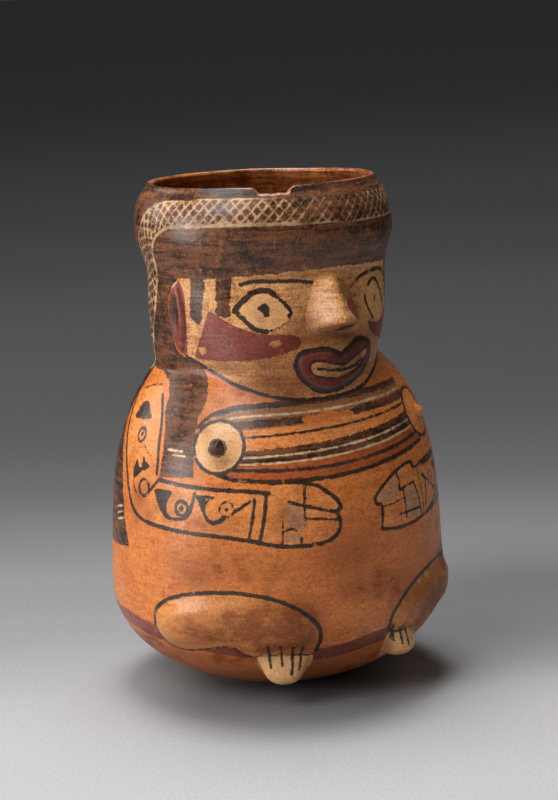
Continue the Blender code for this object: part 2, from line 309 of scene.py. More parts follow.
# %% [markdown]
# ## Where every vertex lies
# Shaping and painting both need to know where a vertex is on the wall. Its azimuth and level come from its
# place on the spun ring, and its share of the wall says how near the outside it is: 1 on the outer skin, 0
# inside the cup. The rows near the neck are then slid down so that the seam follows the crease under the
# jaw.

# %% Find azimuth, level and share
body_seam = sections["belly_wall"][0][-1][0]


def vertex_places(piece):
    """A mesh's corners in millimetres."""
    places = np.empty(3 * len(piece.data.vertices))
    piece.data.vertices.foreach_get("co", places)
    return places.reshape(-1, 3) / MM


def wall_places(piece):
    """Azimuth, level, share of the wall and plain radius of each vertex of a spun course."""
    x, y, level = vertex_places(piece).T
    radius = np.hypot(x, y)
    azimuth = np.degrees(np.arctan2(x, -y))
    outer = np.where(level <= NECK_LEVEL, body_outline(level), head_outline(level))
    inner = np.where(level < inner_corners[0][0], 0, inner_outline(level))
    share = np.clip((radius - inner) / (outer - inner), 0, 1)
    share[radius < inner] = 0
    tent = np.minimum(
        (level - body_seam) / (NECK_LEVEL - body_seam),
        (CLOTH_EDGE - level) / (CLOTH_EDGE - NECK_LEVEL),
    )
    level = level - chin_drop(azimuth) * np.clip(tent, 0, 1) * share
    return azimuth, level, share, radius


pieces = {piece.name: piece for piece in courses}
places = {piece.name: wall_places(piece) for piece in courses}
print("wall vertices:", sum(len(place[0]) for place in places.values()))

# %% [markdown]
# ## Pressed-on pieces
# The nose, ears, nipples and feet are lumps of clay that were pressed on and smoothed in. A sphere would do
# for a first guess, but the real ones flow into the wall. So each starts as a grid that is laid on the skin
# and raised by its own relief, which sinks below the skin at its border, and the border is then filled to
# close the piece.

# %% Reliefs of the pressed-on pieces
SUNK = 1.0
SOFT_EDGE = 0.12
NOSE_TOP = 148.5
NOSE_LENGTH = 20.5
NOSE_REACH = 8.4
NOSE_HALF = (6.5, 11.0)
RIDGE_ROUND = 0.17
RIDGE_SPAN = math.hypot(1, RIDGE_ROUND) - RIDGE_ROUND
NOSE_WINGS = 0.9
LEFT_WING = 1.7
EAR_HALF = (4.1, 12.6)
EAR_REACH = 2.2
EAR_HOLLOW_DEPTH = 1.6
NIPPLE_HALF = 3.1
NIPPLE_REACH = 2.9
FOOT_HALF = (8.8, 6.8)
FOOT_REACH = 6.2
# Azimuth, level and width of each foot, the width as a share of the right one's.
FEET = {"right": (-31, 15.5, 1.0), "left": (16.5, 20.8, 0.8)}


def sink(edge, run):
    """Dips a border under the skin, slowly at first so that no ridge shows where the two meet."""
    return SOFT_EDGE * ease(edge / (0.3 * run)) + (SUNK - SOFT_EDGE) * ease(edge / run)


def nose_relief(across, level):
    """A ridge from the brow down to the tip, with broad flanks, two wings and a fuller left side."""
    down = (NOSE_TOP - level) / NOSE_LENGTH
    ridge = NOSE_REACH * (0.36 * ease(down / 0.22) + 0.64 * np.clip(down / 0.82, 0, 1) ** 1.3)
    ridge *= 1 - ease((down - 0.87) / 0.15)
    half = NOSE_HALF[0] + (NOSE_HALF[1] - NOSE_HALF[0]) * ease((down - 0.1) / 0.75)
    slope = (np.hypot(np.minimum(1, np.abs(across) / half), RIDGE_ROUND) - RIDGE_ROUND) / RIDGE_SPAN
    flank = np.clip(1 - slope, 0, 1) ** 1.35
    wing = NOSE_WINGS * hill((np.abs(across) - 4.2) / 1.9, (down - 0.88) / 0.09)
    wing += LEFT_WING * hill((across - 5.2) / 2.6, (down - 0.72) / 0.2)
    edge = np.maximum(np.abs(across) - half, NOSE_LENGTH * np.maximum(-down, down - 1.04))
    return ridge * flank + wing - sink(edge, 3)


def ear_relief(across, along):
    """An almond with a raised edge and a hollow down its middle."""
    b = along / EAR_HALF[1]
    a = across / (EAR_HALF[0] * (1 - 0.35 * np.minimum(1, b**2)))
    off = np.hypot(a, b)
    lump = np.clip(1 - off**2, 0, 1) ** 0.6
    hollow = EAR_HOLLOW_DEPTH * hill(a / 0.5, b / 0.6) * ease(2 * lump)
    return EAR_REACH * lump - hollow - sink(EAR_HALF[0] * (off - 1), 1.2)


def nipple_relief(across, along):
    """A pinched pellet, a little fuller below."""
    off = np.hypot(across, along) / NIPPLE_HALF * (1 + 0.06 * np.sin(3 * np.arctan2(along, across)))
    lump = np.clip(1 - off**1.4, 0, 1) ** 0.9
    return (NIPPLE_REACH - 0.5 * along / NIPPLE_HALF) * lump - sink(NIPPLE_HALF * (off - 1), 0.6)


def foot_relief(across, along):
    """A smooth stub that stands out most low down and narrows to a round end."""
    drop = (1 - along / FOOT_HALF[1]) / 2
    half = FOOT_HALF[0] * (1 - 0.42 * np.clip(drop, 0, 1) ** 1.5)
    stand = ease(drop / 0.7) ** 0.8 * np.sqrt(1 - np.clip((drop - 0.5) / 0.52, 0, 1) ** 2.4)
    lump = stand * (1 - np.minimum(1, np.abs(across) / half) ** 2.6) ** 0.6
    edge = np.maximum(np.abs(across) - half, 2 * FOOT_HALF[1] * np.maximum(-drop, drop - 1.04))
    return FOOT_REACH * lump - sink(edge, 2)


print("reliefs for the nose, ears, nipples and feet")

# %% Press the pieces on
GRID_STEP = 0.36
NOSE_GRID = (14.5, 14)
EAR_GRID = (5.6, 15.5)
NIPPLE_GRID = (4, 4)
FOOT_GRID = (11.5, 9.2)
TUCK_IN = 2.5
BORDER = 0.999


def press_on(name, azimuth, level, half_width, half_height, relief, by_level=False, share=1.0):
    """A grid laid on the skin round one place, raised by its relief and filled at the back."""
    bpy.ops.object.select_all(action="DESELECT")
    counts = [int(2 * half / GRID_STEP) for half in (half_width, half_height)]
    bpy.ops.mesh.primitive_grid_add(x_subdivisions=counts[0], y_subdivisions=counts[1], size=2)
    piece = bpy.context.object
    piece.name = name
    unit = vertex_places(piece) * MM
    across = unit[:, 0] * half_width
    along = unit[:, 1] * half_height
    middle = np.array(azimuth)
    up = skin_point(middle, np.array(level + 1.0)) - skin_point(middle, np.array(level - 1.0))
    up /= np.linalg.norm(up)
    spot_level = level + along * up[2]
    spot_azimuth = azimuth + np.degrees(across / skin_radius(np.full_like(spot_level, azimuth), spot_level))
    sideways = on_turn(spot_azimuth + 90, 1.0, 0 * spot_level)
    out = np.cross(sideways, up)
    out /= np.linalg.norm(out, axis=1)[:, None]
    height = relief(across / share, spot_level if by_level else along)
    # The border is tucked in deeper, so the flat fill behind it stays under the skin.
    height[np.abs(unit[:, :2]).max(axis=1) > BORDER] -= TUCK_IN
    spots = skin_point(spot_azimuth, spot_level) + out * height[:, None]
    piece.data.vertices.foreach_set("co", np.ravel(spots * MM))
    bpy.ops.object.mode_set(mode="EDIT")
    bpy.ops.mesh.select_all(action="DESELECT")
    bpy.ops.mesh.select_non_manifold()
    bpy.ops.mesh.edge_face_add()
    bpy.ops.mesh.select_all(action="SELECT")
    bpy.ops.mesh.normals_make_consistent(inside=False)
    bpy.ops.object.mode_set(mode="OBJECT")
    pieces[name] = piece
    places[name] = (spot_azimuth, spot_level, np.ones(len(spot_level)), None)
    print(name, "stands out", round(float(height.max()), 1), "mm")


def node_place(name):
    """Azimuth and level of the middle of a pressed-on node's front."""
    low, high = (np.array(corner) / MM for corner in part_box(name))
    middle = (low + high) / 2
    return math.degrees(math.atan2(middle[0], -middle[1])), middle[2]


press_on("nose_clay", 0, NOSE_TOP - NOSE_LENGTH / 2, *NOSE_GRID, nose_relief, by_level=True)
for side, (azimuth, level, share) in FEET.items():
    press_on(f"{side}_ear_clay", *node_place(f"{side}_ear"), *EAR_GRID, ear_relief)
    press_on(f"{side}_nipple_clay", *node_place(f"{side}_nipple"), *NIPPLE_GRID, nipple_relief)
    half_width, half_height = FOOT_GRID
    press_on(f"{side}_foot_clay", azimuth, level, half_width * share, half_height, foot_relief, share=share)

# %% [markdown]
# ## Paint as distances
# The potter painted with coloured clay slips: fills first, then pale lines and dark outlines over them. An
# image could hold such a painting, but strokes can also be kept as distances: for every vertex, how many
# millimetres lie between it and the edge of the nearest stroke of a slip, below nothing inside it. A
# material can turn that distance into a crisp or a ragged edge at any size. One field of distances is kept
# for each slip.

# %% Fields of distance
SLIPS = ("amber", "leg", "tan", "red", "cream", "grey", "plum", "brown", "dark", "net", "pale", "line")
FAR = 20.0

names = list(pieces)
AZIMUTH = np.concatenate([places[name][0] for name in names])
LEVEL = np.concatenate([places[name][1] for name in names])
SHARE = np.concatenate([places[name][2] for name in names])
OUTSIDE = SHARE > 0.5
SPOTS = skin_point(AZIMUTH, LEVEL)
RAISED = np.zeros(len(AZIMUTH))
fields = {slip: np.full(len(AZIMUTH), FAR) for slip in SLIPS}
print(len(AZIMUTH), "vertices ready for", len(SLIPS), "slips")

# %% [markdown]
# ## Routes and brushes
# A brush follows a route of places on the wall. A smooth line through a few points serves for most routes,
# and a line with corners for the rest. The distance to a route is measured in space and step by step, so it
# stays right where the wall bends. Every brush then only has to keep the least distance, or the greatest
# where it scrapes.

# %% Routes
def curve(points, closed=False, steps=8):
    """A smooth line through (azimuth, level) points, in short steps."""
    points = np.array(points, dtype=float)
    if closed:
        padded = np.concatenate([points[-1:], points, points[:2]])
    else:
        padded = np.concatenate([2 * points[:1] - points[1:2], points, 2 * points[-1:] - points[-2:-1]])
    t = np.linspace(0, 1, steps, endpoint=False)[:, None]
    parts = []
    for p0, p1, p2, p3 in zip(padded, padded[1:], padded[2:], padded[3:]):
        bend = 2 * p1 + (p2 - p0) * t + (2 * p0 - 5 * p1 + 4 * p2 - p3) * t**2
        parts.append((bend + (3 * p1 - p0 - 3 * p2 + p3) * t**3) / 2)
    end = parts[0][:1] if closed else points[-1:]
    return np.concatenate([*parts, end])


def straight(points, closed=False, steps=8):
    """The same for a line with corners."""
    points = np.array(points, dtype=float)
    if closed:
        points = np.concatenate([points, points[:1]])
    t = np.linspace(0, 1, steps, endpoint=False)[:, None]
    parts = [start + (end - start) * t for start, end in zip(points, points[1:])]
    return np.concatenate([*parts, points[-1:]])


print("a smooth line through 3 points has", len(curve([(0, 0), (1, 1), (2, 0)])), "places")

# %% Distances to a route
BRUSH_REACH = 3.0
TINY = 1e-6


def near_spots(route, margin):
    """Which vertices lie round a route, with their azimuths unrolled to it."""
    middle = (route[:, 0].min() + route[:, 0].max()) / 2
    azimuth = (AZIMUTH - middle + 180) % 360 - 180 + middle
    slack = math.degrees(margin / NECK_RADIUS)
    near = (azimuth > route[:, 0].min() - slack) & (azimuth < route[:, 0].max() + slack)
    near &= (LEVEL > route[:, 1].min() - margin) & (LEVEL < route[:, 1].max() + margin) & OUTSIDE
    return np.flatnonzero(near), azimuth


def distance_to(route, near):
    """Distance from vertices to a route, with the length along it and the side they lie on."""
    knots = skin_point(route[:, 0], route[:, 1])
    spots = SPOTS[near]
    best = np.full(len(near), np.inf)
    length = np.zeros(len(near))
    side = np.zeros(len(near))
    run = 0.0
    for start, end in zip(knots, knots[1:]):
        step = end - start
        reach = np.linalg.norm(step)
        if reach < TINY:
            continue
        offset = spots - start
        t = np.clip(offset @ step / reach**2, 0, 1)
        gap = np.linalg.norm(offset - t[:, None] * step, axis=1)
        closer = gap < best
        best[closer] = gap[closer]
        length[closer] = run + t[closer] * reach
        outward = start * (1, 1, 0)
        side[closer] = (offset @ np.cross(step, outward))[closer]
        run += reach
    return best, length, np.sign(side)


def inside(route, azimuth, level):
    """Which places lie inside a closed route, by counting its crossings."""
    hits = np.zeros(len(azimuth), dtype=bool)
    for (a0, z0), (a1, z1) in zip(route, route[1:]):
        if z0 != z1:
            crossing = (level < z0) != (level < z1)
            hits ^= crossing & (azimuth < a0 + (level - z0) / (z1 - z0) * (a1 - a0))
    return hits


def signed(route):
    """Vertices round a closed route, with their distance to it, below nothing inside."""
    near, azimuth = near_spots(route, BRUSH_REACH)
    away = distance_to(route, near)[0]
    return near, np.where(inside(route, azimuth[near], LEVEL[near]), -away, away)


print("distances reach", BRUSH_REACH, "mm from a route")

# %% Brushes
def lay(slip, near, distance):
    """Adds a slip where the distance is below nothing."""
    fields[slip][near] = np.minimum(fields[slip][near], distance)


def stroke(slip, route, width):
    """One brush stroke along a route."""
    near, _ = near_spots(route, BRUSH_REACH)
    lay(slip, near, distance_to(route, near)[0] - width / 2)


def fill(slip, route, outline=0.0):
    """A filled patch inside a closed route, with an optional dark outline of that width."""
    near, distance = signed(route)
    lay(slip, near, distance)
    if outline:
        lay("line", near, np.abs(distance) - outline / 2)


def scrape(slip, route):
    """Takes a slip off inside a closed route."""
    near, distance = signed(route)
    fields[slip][near] = np.maximum(fields[slip][near], -distance)


def swell(route, height, run):
    """Raises the wall inside a closed route, over a run of millimetres from its edge."""
    near, distance = signed(route)
    RAISED[near] = np.maximum(RAISED[near], height * ease(-distance / run))


def as_drawn(points):
    """The points themselves, for the side that was drawn."""
    return points


def mirrored(points, axis=0.0):
    """The same points on the other side of an azimuth."""
    return [(2 * axis - azimuth, level) for azimuth, level in points]


def patch(slip, points, bend=curve):
    """A fill inside a loop of points, smooth or with corners."""
    fill(slip, bend(points, closed=True))


def draw(lines, turn=as_drawn):
    """Dark smooth strokes, each with its own width."""
    for points, width in lines:
        stroke("line", curve(turn(points)), width)


print("brushes for", ", ".join(SLIPS))

# %% [markdown]
# ## Headcloth and net band
# A dark cloth covers the head down to a nearly level edge. Round its top runs a netted band, drawn in cream
# lines that cross in diamonds between two borders, and the band's ends curve down behind the ears. Two
# families of slanting lines across a ribbon give the diamonds, so they bend with the ribbon. The lines grow
# thinner over the brow, where they are rubbed.

# %% Paint the headcloth
HAIRLINE = 149.5
BAND_HALF = 4.7
BAND_WIDENS = 1.3
# Azimuths where the band starts to widen, and over how many degrees it does.
BAND_WIDER = (72, 22)
NET_PITCH = 2.75
NET_LINE = 0.68
NET_SLANT = (0.74, 0.67)
NET_FADES = 0.14
# Half width of the band's lower and upper border, and how fast each of them fades.
NET_BORDERS = ((0.62, 2.6), (0.4, 3))
BORDER_INSET = 0.2
HAIRLINE_DROP = 2
HEAD_FROM = 140
BAND_SIDE = [
    (-122, 118), (-112, 130), (-105.5, 139), (-101.5, 147), (-98.5, 154), (-94.5, 160.5), (-88, 166),
    (-78, 169.3), (-62, 170.2), (-40, 170.4),
]
BAND_FRONT = [(-10, 169.8), (12, 169.1), (40, 168.9)]


def net_band(route):
    """Crossing cream lines inside a ribbon, with a border along each edge, broader on the lower one."""
    near, azimuth = near_spots(route, 2 * BAND_HALF)
    away, length, side = distance_to(route, near)
    across = away * side
    edge = away - BAND_HALF - BAND_WIDENS * ease((np.abs(azimuth[near]) - BAND_WIDER[0]) / BAND_WIDER[1])
    faded = NET_FADES * ease((azimuth[near] + 34) / 30) * ease((60 - azimuth[near]) / 25)
    net = np.full(len(near), FAR)
    for slant in (1, -1):
        along = (NET_SLANT[0] * length + slant * NET_SLANT[1] * across) / NET_PITCH
        net = np.minimum(net, (0.5 - np.abs(along % 1 - 0.5)) * NET_PITCH - NET_LINE / 2 + faded)
    lay("net", near, np.maximum(net, edge))
    lower, upper = (half - fade * faded for half, fade in NET_BORDERS)
    lay("net", near, np.abs(edge + BORDER_INSET) - np.where(across > 0, lower, upper))
    lay("dark", near, edge)


cloth_edge = HAIRLINE - HAIRLINE_DROP * ease(np.abs(AZIMUTH) / 75)
on_head = np.flatnonzero((LEVEL > HEAD_FROM) & OUTSIDE)
lay("dark", on_head, (cloth_edge - LEVEL)[on_head])
band = BAND_SIDE + BAND_FRONT + mirrored(BAND_SIDE)[:-1][::-1]
net_band(curve(band))
print("net band of", len(band), "points")

# %% [markdown]
# ## Hair
# Dark hair falls behind the ears, over each shoulder in a straight lock, and down the back in a broad fall
# with flared ends. Two short locks lie on each temple. Fills between short straight runs are enough, and
# the two sides of the hair are mirrored.

# %% Paint the hair
BACK = -180
TICK_LINE = 0.7
SIDE_LOCK = [
    (-73, 150), (-77, 146.5), (-84, 141), (-85.5, 135), (-84.5, 129), (-81.5, 122.5), (-74.5, 119.5),
    (-68, 118.3), (-63.5, 115.5), (-60.5, 111), (-59.5, 106.5), (-61.5, 101), (-61.3, 95), (-61.2, 89),
    (-59.8, 82), (-75, 81.3), (-74.8, 88), (-76, 96), (-80, 103), (-80.5, 107.5), (-85, 111.5), (-95, 114),
    (-112, 114), (-116, 150),
]
BACK_HAIR = [
    (-112, 152), (-112, 116), (-109, 108), (-112, 100), (-109, 92.5), (-104, 84.5), (-101, 77), (-98, 68.5),
    (-95, 61), (-92, 54.6), (-106, 53), (-140, 53.5), (-180, 54),
]
TEMPLE_LOCKS = (
    [
        (-68.9, 149), (-68.6, 144.7), (-69.3, 140.1), (-69.4, 136.8), (-69.7, 134), (-67.1, 132.6),
        (-64.6, 131.3), (-63.1, 133.3), (-62.8, 135.8), (-61.8, 138.8), (-61.7, 141.3), (-60.5, 144),
        (-60.9, 145.8), (-60.2, 149),
    ],
    [
        (-54.3, 149), (-55.3, 145), (-54.5, 142.6), (-56, 141.1), (-54.7, 139.3), (-56.2, 136.5),
        (-54.9, 135.4), (-50.4, 134.2), (-48.1, 135.4), (-47.7, 136.9), (-48.4, 139.6), (-47.9, 142),
        (-47.3, 145), (-47, 149),
    ],
)
LOCK_TICKS = ([(-72.5, 90.6), (-66, 90.4)], [(-70, 88.9), (-64.5, 88.8)])
TAIL_TICKS = ([(-105.5, 66.2), (-99, 67.7)], [(-104.3, 64.2), (-98, 65.8)], [(-103.6, 62.2), (-97.2, 63.7)])

patch("dark", BACK_HAIR + mirrored(BACK_HAIR[:-1], BACK)[::-1], straight)
for turn in (as_drawn, mirrored):
    patch("dark", turn(SIDE_LOCK), straight)
    for lock in TEMPLE_LOCKS:
        patch("dark", turn(lock), straight)
    for tick in LOCK_TICKS + TAIL_TICKS:
        stroke("pale", straight(turn(tick)), TICK_LINE)
print("hair laid on")

# %% [markdown]
# ## Face
# The face is a conventional painted one: a pale ground down to a dark jaw line, and a dark red patch on
# each cheek, flaked off in two small spots. The two halves were drawn freehand and differ, so each has its
# own outlines, and only the ears are mirrored, each with painted shade in its hollow and a painted highlight
# along its upper rim.

# %% Paint the jaw, ears and cheeks
JAW_LINE = 1.4
EAR_HIGHLIGHT_LINE = 0.5
FACE_SIDES = [(76, 135), (74, 151), (-74, 151), (-76, 135)]
JAW = [
    (-75, 120.3), (-69, 118.7), (-61, 116.3), (-54, 114), (-47.5, 112), (-39.5, 109.9), (-33.5, 108.5),
    (-27, 107.4), (-20, 106.6), (-12, 106.2), (-4, 106.3), (4, 106.8), (10, 107.7), (16, 109.2), (22, 111),
    (28, 112.8), (36, 115), (46, 117.2), (58, 119), (75, 120.4),
]
CHEEK = [
    (-58.8, 136.8), (-52.6, 134.3), (-44.3, 131.3), (-38.4, 129.7), (-32.7, 128.8), (-26, 128.6),
    (-19.5, 128), (-16.8, 126), (-18.2, 123.8), (-23.7, 122.4), (-31.3, 121.1), (-40, 120.2), (-49, 119.8),
    (-58.3, 119.8), (-68.5, 120.1), (-68.7, 122), (-65, 127.4), (-61, 133.5),
]
LEFT_CHEEK = [
    (21.3, 129.3), (27, 128.4), (33, 128), (40, 129.4), (48, 132), (56, 135.2), (60, 136.4), (62, 133),
    (66, 127), (69, 121.5), (68, 120), (58, 119.8), (49, 119.9), (40, 121), (33, 122.6), (26.7, 124.2),
    (22.2, 126.5),
]
CHEEK_FLAKES = (
    [(-31.5, 125.7), (-28.3, 127.1), (-26.4, 126.9), (-25.3, 125.2), (-26.9, 124.7), (-29.6, 124.2)],
    [(-66.7, 123.9), (-63.4, 124.4), (-61.5, 122.6), (-64.4, 121.5), (-66.5, 122.4)],
)
EAR = [
    (-76.2, 146.7), (-80, 144), (-82.8, 140.4), (-84.4, 136), (-83.8, 130.9), (-80.4, 125.2),
    (-75.2, 120.4), (-73.2, 126.8), (-72.7, 132.6), (-72.5, 138.4), (-73.4, 143.2),
]
# Painted shade: a dark fill in the hollow of each ear.
EAR_HOLLOW_SHADE = [
    (-77.5, 142), (-80.6, 139.4), (-81.6, 136), (-80.6, 132.8), (-78.6, 131), (-76.6, 133.6), (-75.6, 138),
]
# Painted highlight: a pale stroke along the upper rim of each ear.
EAR_RIM_HIGHLIGHT = [(-76.8, 146.4), (-80.4, 143.6), (-83, 140.2)]

jaw = curve(JAW)
fill("tan", np.concatenate([jaw, FACE_SIDES, jaw[:1]]))
stroke("line", jaw, JAW_LINE)
for turn in (as_drawn, mirrored):
    patch("plum", turn(EAR))
    patch("dark", turn(EAR_HOLLOW_SHADE))
    stroke("pale", curve(turn(EAR_RIM_HIGHLIGHT)), EAR_HIGHLIGHT_LINE)
for cheek in (CHEEK, LEFT_CHEEK):
    patch("plum", cheek)
for flake in CHEEK_FLAKES:
    scrape("plum", straight(flake, closed=True))
print("jaw, ears and cheeks laid on")

# %% [markdown]
# ## Eyes and brows
# The eyes are pale almonds between dark lids, with a small dark pupil. The lids of the right eye are wide
# where the brush set off and thinner further on, so each is a few strokes that run on from each other.

# %% Paint the eyes and brows
BROW_LINE = 1.4
UPPER_LID = [
    (-46.4, 136.8), (-44.2, 138.7), (-41.6, 140.5), (-38.6, 142.2), (-35.3, 143.3), (-32.4, 143.4),
    (-30, 143.2), (-27.6, 142.1), (-25.7, 140.6), (-23.4, 139.1), (-21.5, 137.2), (-20.4, 135.7),
    (-21.4, 134.5),
]
LOWER_LID = [
    (-46.4, 136.8), (-42.7, 134.5), (-40.3, 132.7), (-37.5, 130.9), (-34.4, 130), (-31.6, 129.8),
    (-29.2, 130.1), (-26.5, 130.8), (-23.5, 132.2),
]
LID_LINES = (
    (UPPER_LID[:8], 2.0), (UPPER_LID[7:10], 1.2), (UPPER_LID[9:], 1.4), (LOWER_LID[:6], 1.7),
    (LOWER_LID[5:8], 0.9), (LOWER_LID[7:], 0.4),
)
PUPIL = [
    (-35.8, 137.6), (-33.9, 138.8), (-31.5, 138.9), (-30.1, 137.6), (-30.4, 136.1), (-30.1, 135.2),
    (-32.5, 134.5), (-33.2, 135.9), (-34.4, 136.6),
]
BROW = [
    (-43, 145.6), (-40.5, 146.1), (-36.3, 146.5), (-30.6, 146.4), (-24.4, 146.2), (-18.2, 146),
    (-9.5, 145.2),
]
LEFT_EYE = [
    (23.1, 138.5), (24.6, 140.8), (28, 142), (31.9, 141.9), (36.1, 139.9), (39, 136.8), (41.1, 133.8),
    (40, 130), (34.2, 128.3), (27.9, 129), (24.9, 132.1), (22.9, 135.4),
]
LEFT_UPPER_LID = [
    (24.7, 141.4), (27.3, 142.8), (30.7, 143.2), (34.3, 142), (37.5, 139.4), (40.2, 136.2), (42.3, 132),
]
LEFT_INNER_LID = [(20.7, 138.1), (21.1, 135.9), (23.4, 132.9), (26.7, 130.1)]
LEFT_LID_LINES = ((LEFT_UPPER_LID, 1.3), (LEFT_INNER_LID, 1.3))
LEFT_PUPIL = [(29.6, 137.4), (30.6, 137.8), (31.4, 136.6), (30.6, 135.2), (29.7, 135.8)]
LEFT_BROW_LINES = (
    ([(11.5, 141.7), (13.5, 142.6)], 0.8), ([(16, 144), (18.5, 144.9), (21.5, 145.5), (26, 146.1)], 1.3),
    ([(28.1, 146.3), (35.3, 146.2), (42.3, 145.1), (46, 143)], 1.5),
)

patch("cream", UPPER_LID[1:-1] + LOWER_LID[:0:-1])
patch("cream", LEFT_EYE)
draw((*LID_LINES, *LEFT_LID_LINES, *LEFT_BROW_LINES, (BROW, BROW_LINE)))
for pupil in (PUPIL, LEFT_PUPIL):
    patch("line", pupil)
print("eyes and brows laid on")

# %% [markdown]
# ## Nose and mouth
# The lips are full and swell a little from the wall. They are filled and outlined first, then the opening
# is scraped out of them, edged, filled with pale slip and crossed by a line for the teeth. A dark red patch
# and a short stroke colour the left of the nose and its underside.

# %% Paint the nose and mouth
LIP_SWELL = 0.7
LIP_RUN = 1.6
LIP_LINE = 1.8
TEETH_LINE = 1.1
NOSTRIL_LINE = 1.3
LIPS = [
    (-19.8, 117.6), (-18.4, 121), (-15.4, 122.3), (-11, 122.6), (-6, 122.5), (-1.7, 121.5), (0.9, 120.2),
    (3.5, 121), (7.4, 122.7), (11.8, 124.4), (15, 124.3), (19.8, 122.9), (21.6, 121.2), (21.4, 118.6),
    (19.1, 115.8), (11.8, 112.4), (4.6, 110.2), (-1.9, 108.8), (-7.5, 108.5), (-11.5, 109.1),
    (-14.4, 110.8), (-17.7, 113.5),
]
MOUTH = [
    (-13.9, 117.2), (-12.4, 118.5), (-10.2, 118.6), (-6.5, 117.8), (-2.3, 116.9), (1.4, 116.6),
    (5.5, 117.3), (9.6, 118.7), (14.8, 120.2), (17.1, 120.4), (17.1, 119), (13.8, 117), (9.3, 115),
    (4.6, 113.7), (0.1, 113), (-4, 113), (-8.5, 113.7), (-11.7, 114.4), (-13.6, 115.8),
]
TEETH = [(-11, 116.4), (-6.7, 115.7), (-2.4, 115.2), (2.3, 115.1), (6.5, 115.5), (10, 116.4), (13.6, 117.6)]
NOSTRIL = [
    (2.6, 136.6), (5.6, 138.6), (10.5, 137), (12.6, 133.6), (11.4, 130.4), (8, 130), (4.6, 131.6),
    (2.9, 134),
]
NOSTRIL_MARK = [(0, 128.7), (4, 129), (8, 129.6)]

patch("plum", NOSTRIL)
lips = curve(LIPS, closed=True)
mouth = curve(MOUTH, closed=True)
fill("plum", lips, outline=LIP_LINE)
swell(lips, LIP_SWELL, LIP_RUN)
scrape("plum", mouth)
stroke("line", mouth, LIP_LINE)
scrape("line", mouth)
fill("cream", mouth)
stroke("line", curve(TEETH), TEETH_LINE)
stroke("dark", curve(NOSTRIL_MARK), NOSTRIL_LINE)
print("nose and mouth laid on")

# %% [markdown]
# ## Bib and breast discs
# Between two discs hangs a striped bib. Its stripes are written as heights at four azimuths, because each
# one sags in a slow curve, and each band lies between two such curves. The paint is scraped off again in
# one worn place.

# %% Paint the bib
BIB_AZIMUTHS = (-54, -42, -10, 38)
BIB_TOP = (102.6, 105.0, 105.9, 106.9)
FIRST_PALE = (100.0, 102.0, 102.8, 104.4)
FIRST_DARK = (98.2, 99.6, 100.7, 102.3)
FIRST_FOOT = (96.4, 97.7, 99.3, 101.0)
THIN_LINE = (95.0, 95.4, 97.0, 99.7)
SECOND_HEAD = (91.2, 91.3, 93.1, 97.4)
SECOND_PALE = (89.0, 89.0, 90.5, 94.4)
SECOND_FOOT = (87.2, 86.9, 88.0, 92.0)
RED_LINE = (85.8, 85.0, 85.0, 89.2)
BIB_FOOT = (84.4, 81.7, 81.4, 86.2)
BIB_START_LINE = 1.5
DISC_RADIUS = 9.0
DISC_LINE = 1.3
DISC_STEPS = 41
BREAST_SWELL = 0.9
BREAST_RUN = 8
DISCS = (((-51.4, 92.3), "cream", "dark"), ((43.5, 95.0), "amber", "amber"))
NIPPLE_SPREAD = 3.2
BIB_WORN = [
    (-20.4, 100.4), (-17, 101.6), (-13.6, 101.2), (-11, 102.8), (-7.1, 102.2), (-4, 101.4), (0, 101.8),
    (2.9, 100.6), (1, 99.4), (-3, 98.6), (-6, 99.2), (-10, 97.6), (-14, 98.6), (-18, 98.2),
]
BIB_START = [(-60.6, 98.4), (-58.6, 100.4), (-55.3, 102.5), (-51.6, 103.4), (-46.1, 104.6), (-40, 105.3)]


def stripe(heights, steps=24):
    """A sagging line across the bib."""
    return curve(list(zip(BIB_AZIMUTHS, heights)), steps=steps)


def band_between(slip, upper, lower):
    """A fill between two sagging lines."""
    route = np.concatenate([stripe(upper), stripe(lower)[::-1]])
    fill(slip, np.concatenate([route, route[:1]]))


def disc(middle, radius):
    """A circle on the skin round one place."""
    turn = np.linspace(0, 2 * math.pi, DISC_STEPS)
    azimuth, level = middle
    ends = skin_radius(np.full(2, azimuth), np.array([level - 0.5, level + 0.5]))
    levels = level + radius * np.sin(turn) / math.hypot(1, ends[0] - ends[1])
    around = skin_radius(np.full(DISC_STEPS, azimuth), levels)
    azimuths = azimuth + np.degrees(radius * np.cos(turn) / around)
    return np.stack([azimuths, levels], axis=1)


band_between("brown", BIB_TOP, FIRST_FOOT)
band_between("amber", FIRST_FOOT, SECOND_HEAD)
band_between("dark", SECOND_HEAD, SECOND_FOOT)
band_between("red", SECOND_FOOT, BIB_FOOT)
for heights, width in ((FIRST_PALE, 0.8), (SECOND_PALE, 0.7), (SECOND_FOOT, 0.7)):
    stroke("pale", stripe(heights), width)
for heights, width in ((BIB_TOP, 2.2), (FIRST_DARK, 2.6)):
    stroke("dark", stripe(heights), width)
for heights, width in ((THIN_LINE, 0.9), (RED_LINE, 1.3), (BIB_FOOT, 1.5)):
    stroke("line", stripe(heights), width)
for middle, ground, dot in DISCS:
    # The disc lies over the bib, so the bib's slips stop at its edge.
    edge = disc(middle, DISC_RADIUS)
    for slip in ("dark", "brown", "red", "amber", "pale", "line"):
        scrape(slip, edge)
    fill(ground, edge, outline=DISC_LINE)
    swell(edge, BREAST_SWELL, BREAST_RUN)
    fill(dot, disc(middle, NIPPLE_SPREAD))
stroke("line", curve(BIB_START), BIB_START_LINE)
for slip in ("brown", "dark", "pale"):
    scrape(slip, np.array(BIB_WORN + BIB_WORN[:1], float))
print("bib and", len(DISCS), "discs laid on")

# %% [markdown]
# ## Arms and hands
# The arms come forward round the body. They are outlined in dark slip, crossed by two cuff lines, and carry
# hooked marks and ringed dots. The two hands differ a little, as hand-drawn ones do, so each has its own
# outline, and the rest of the left arm is mirrored.

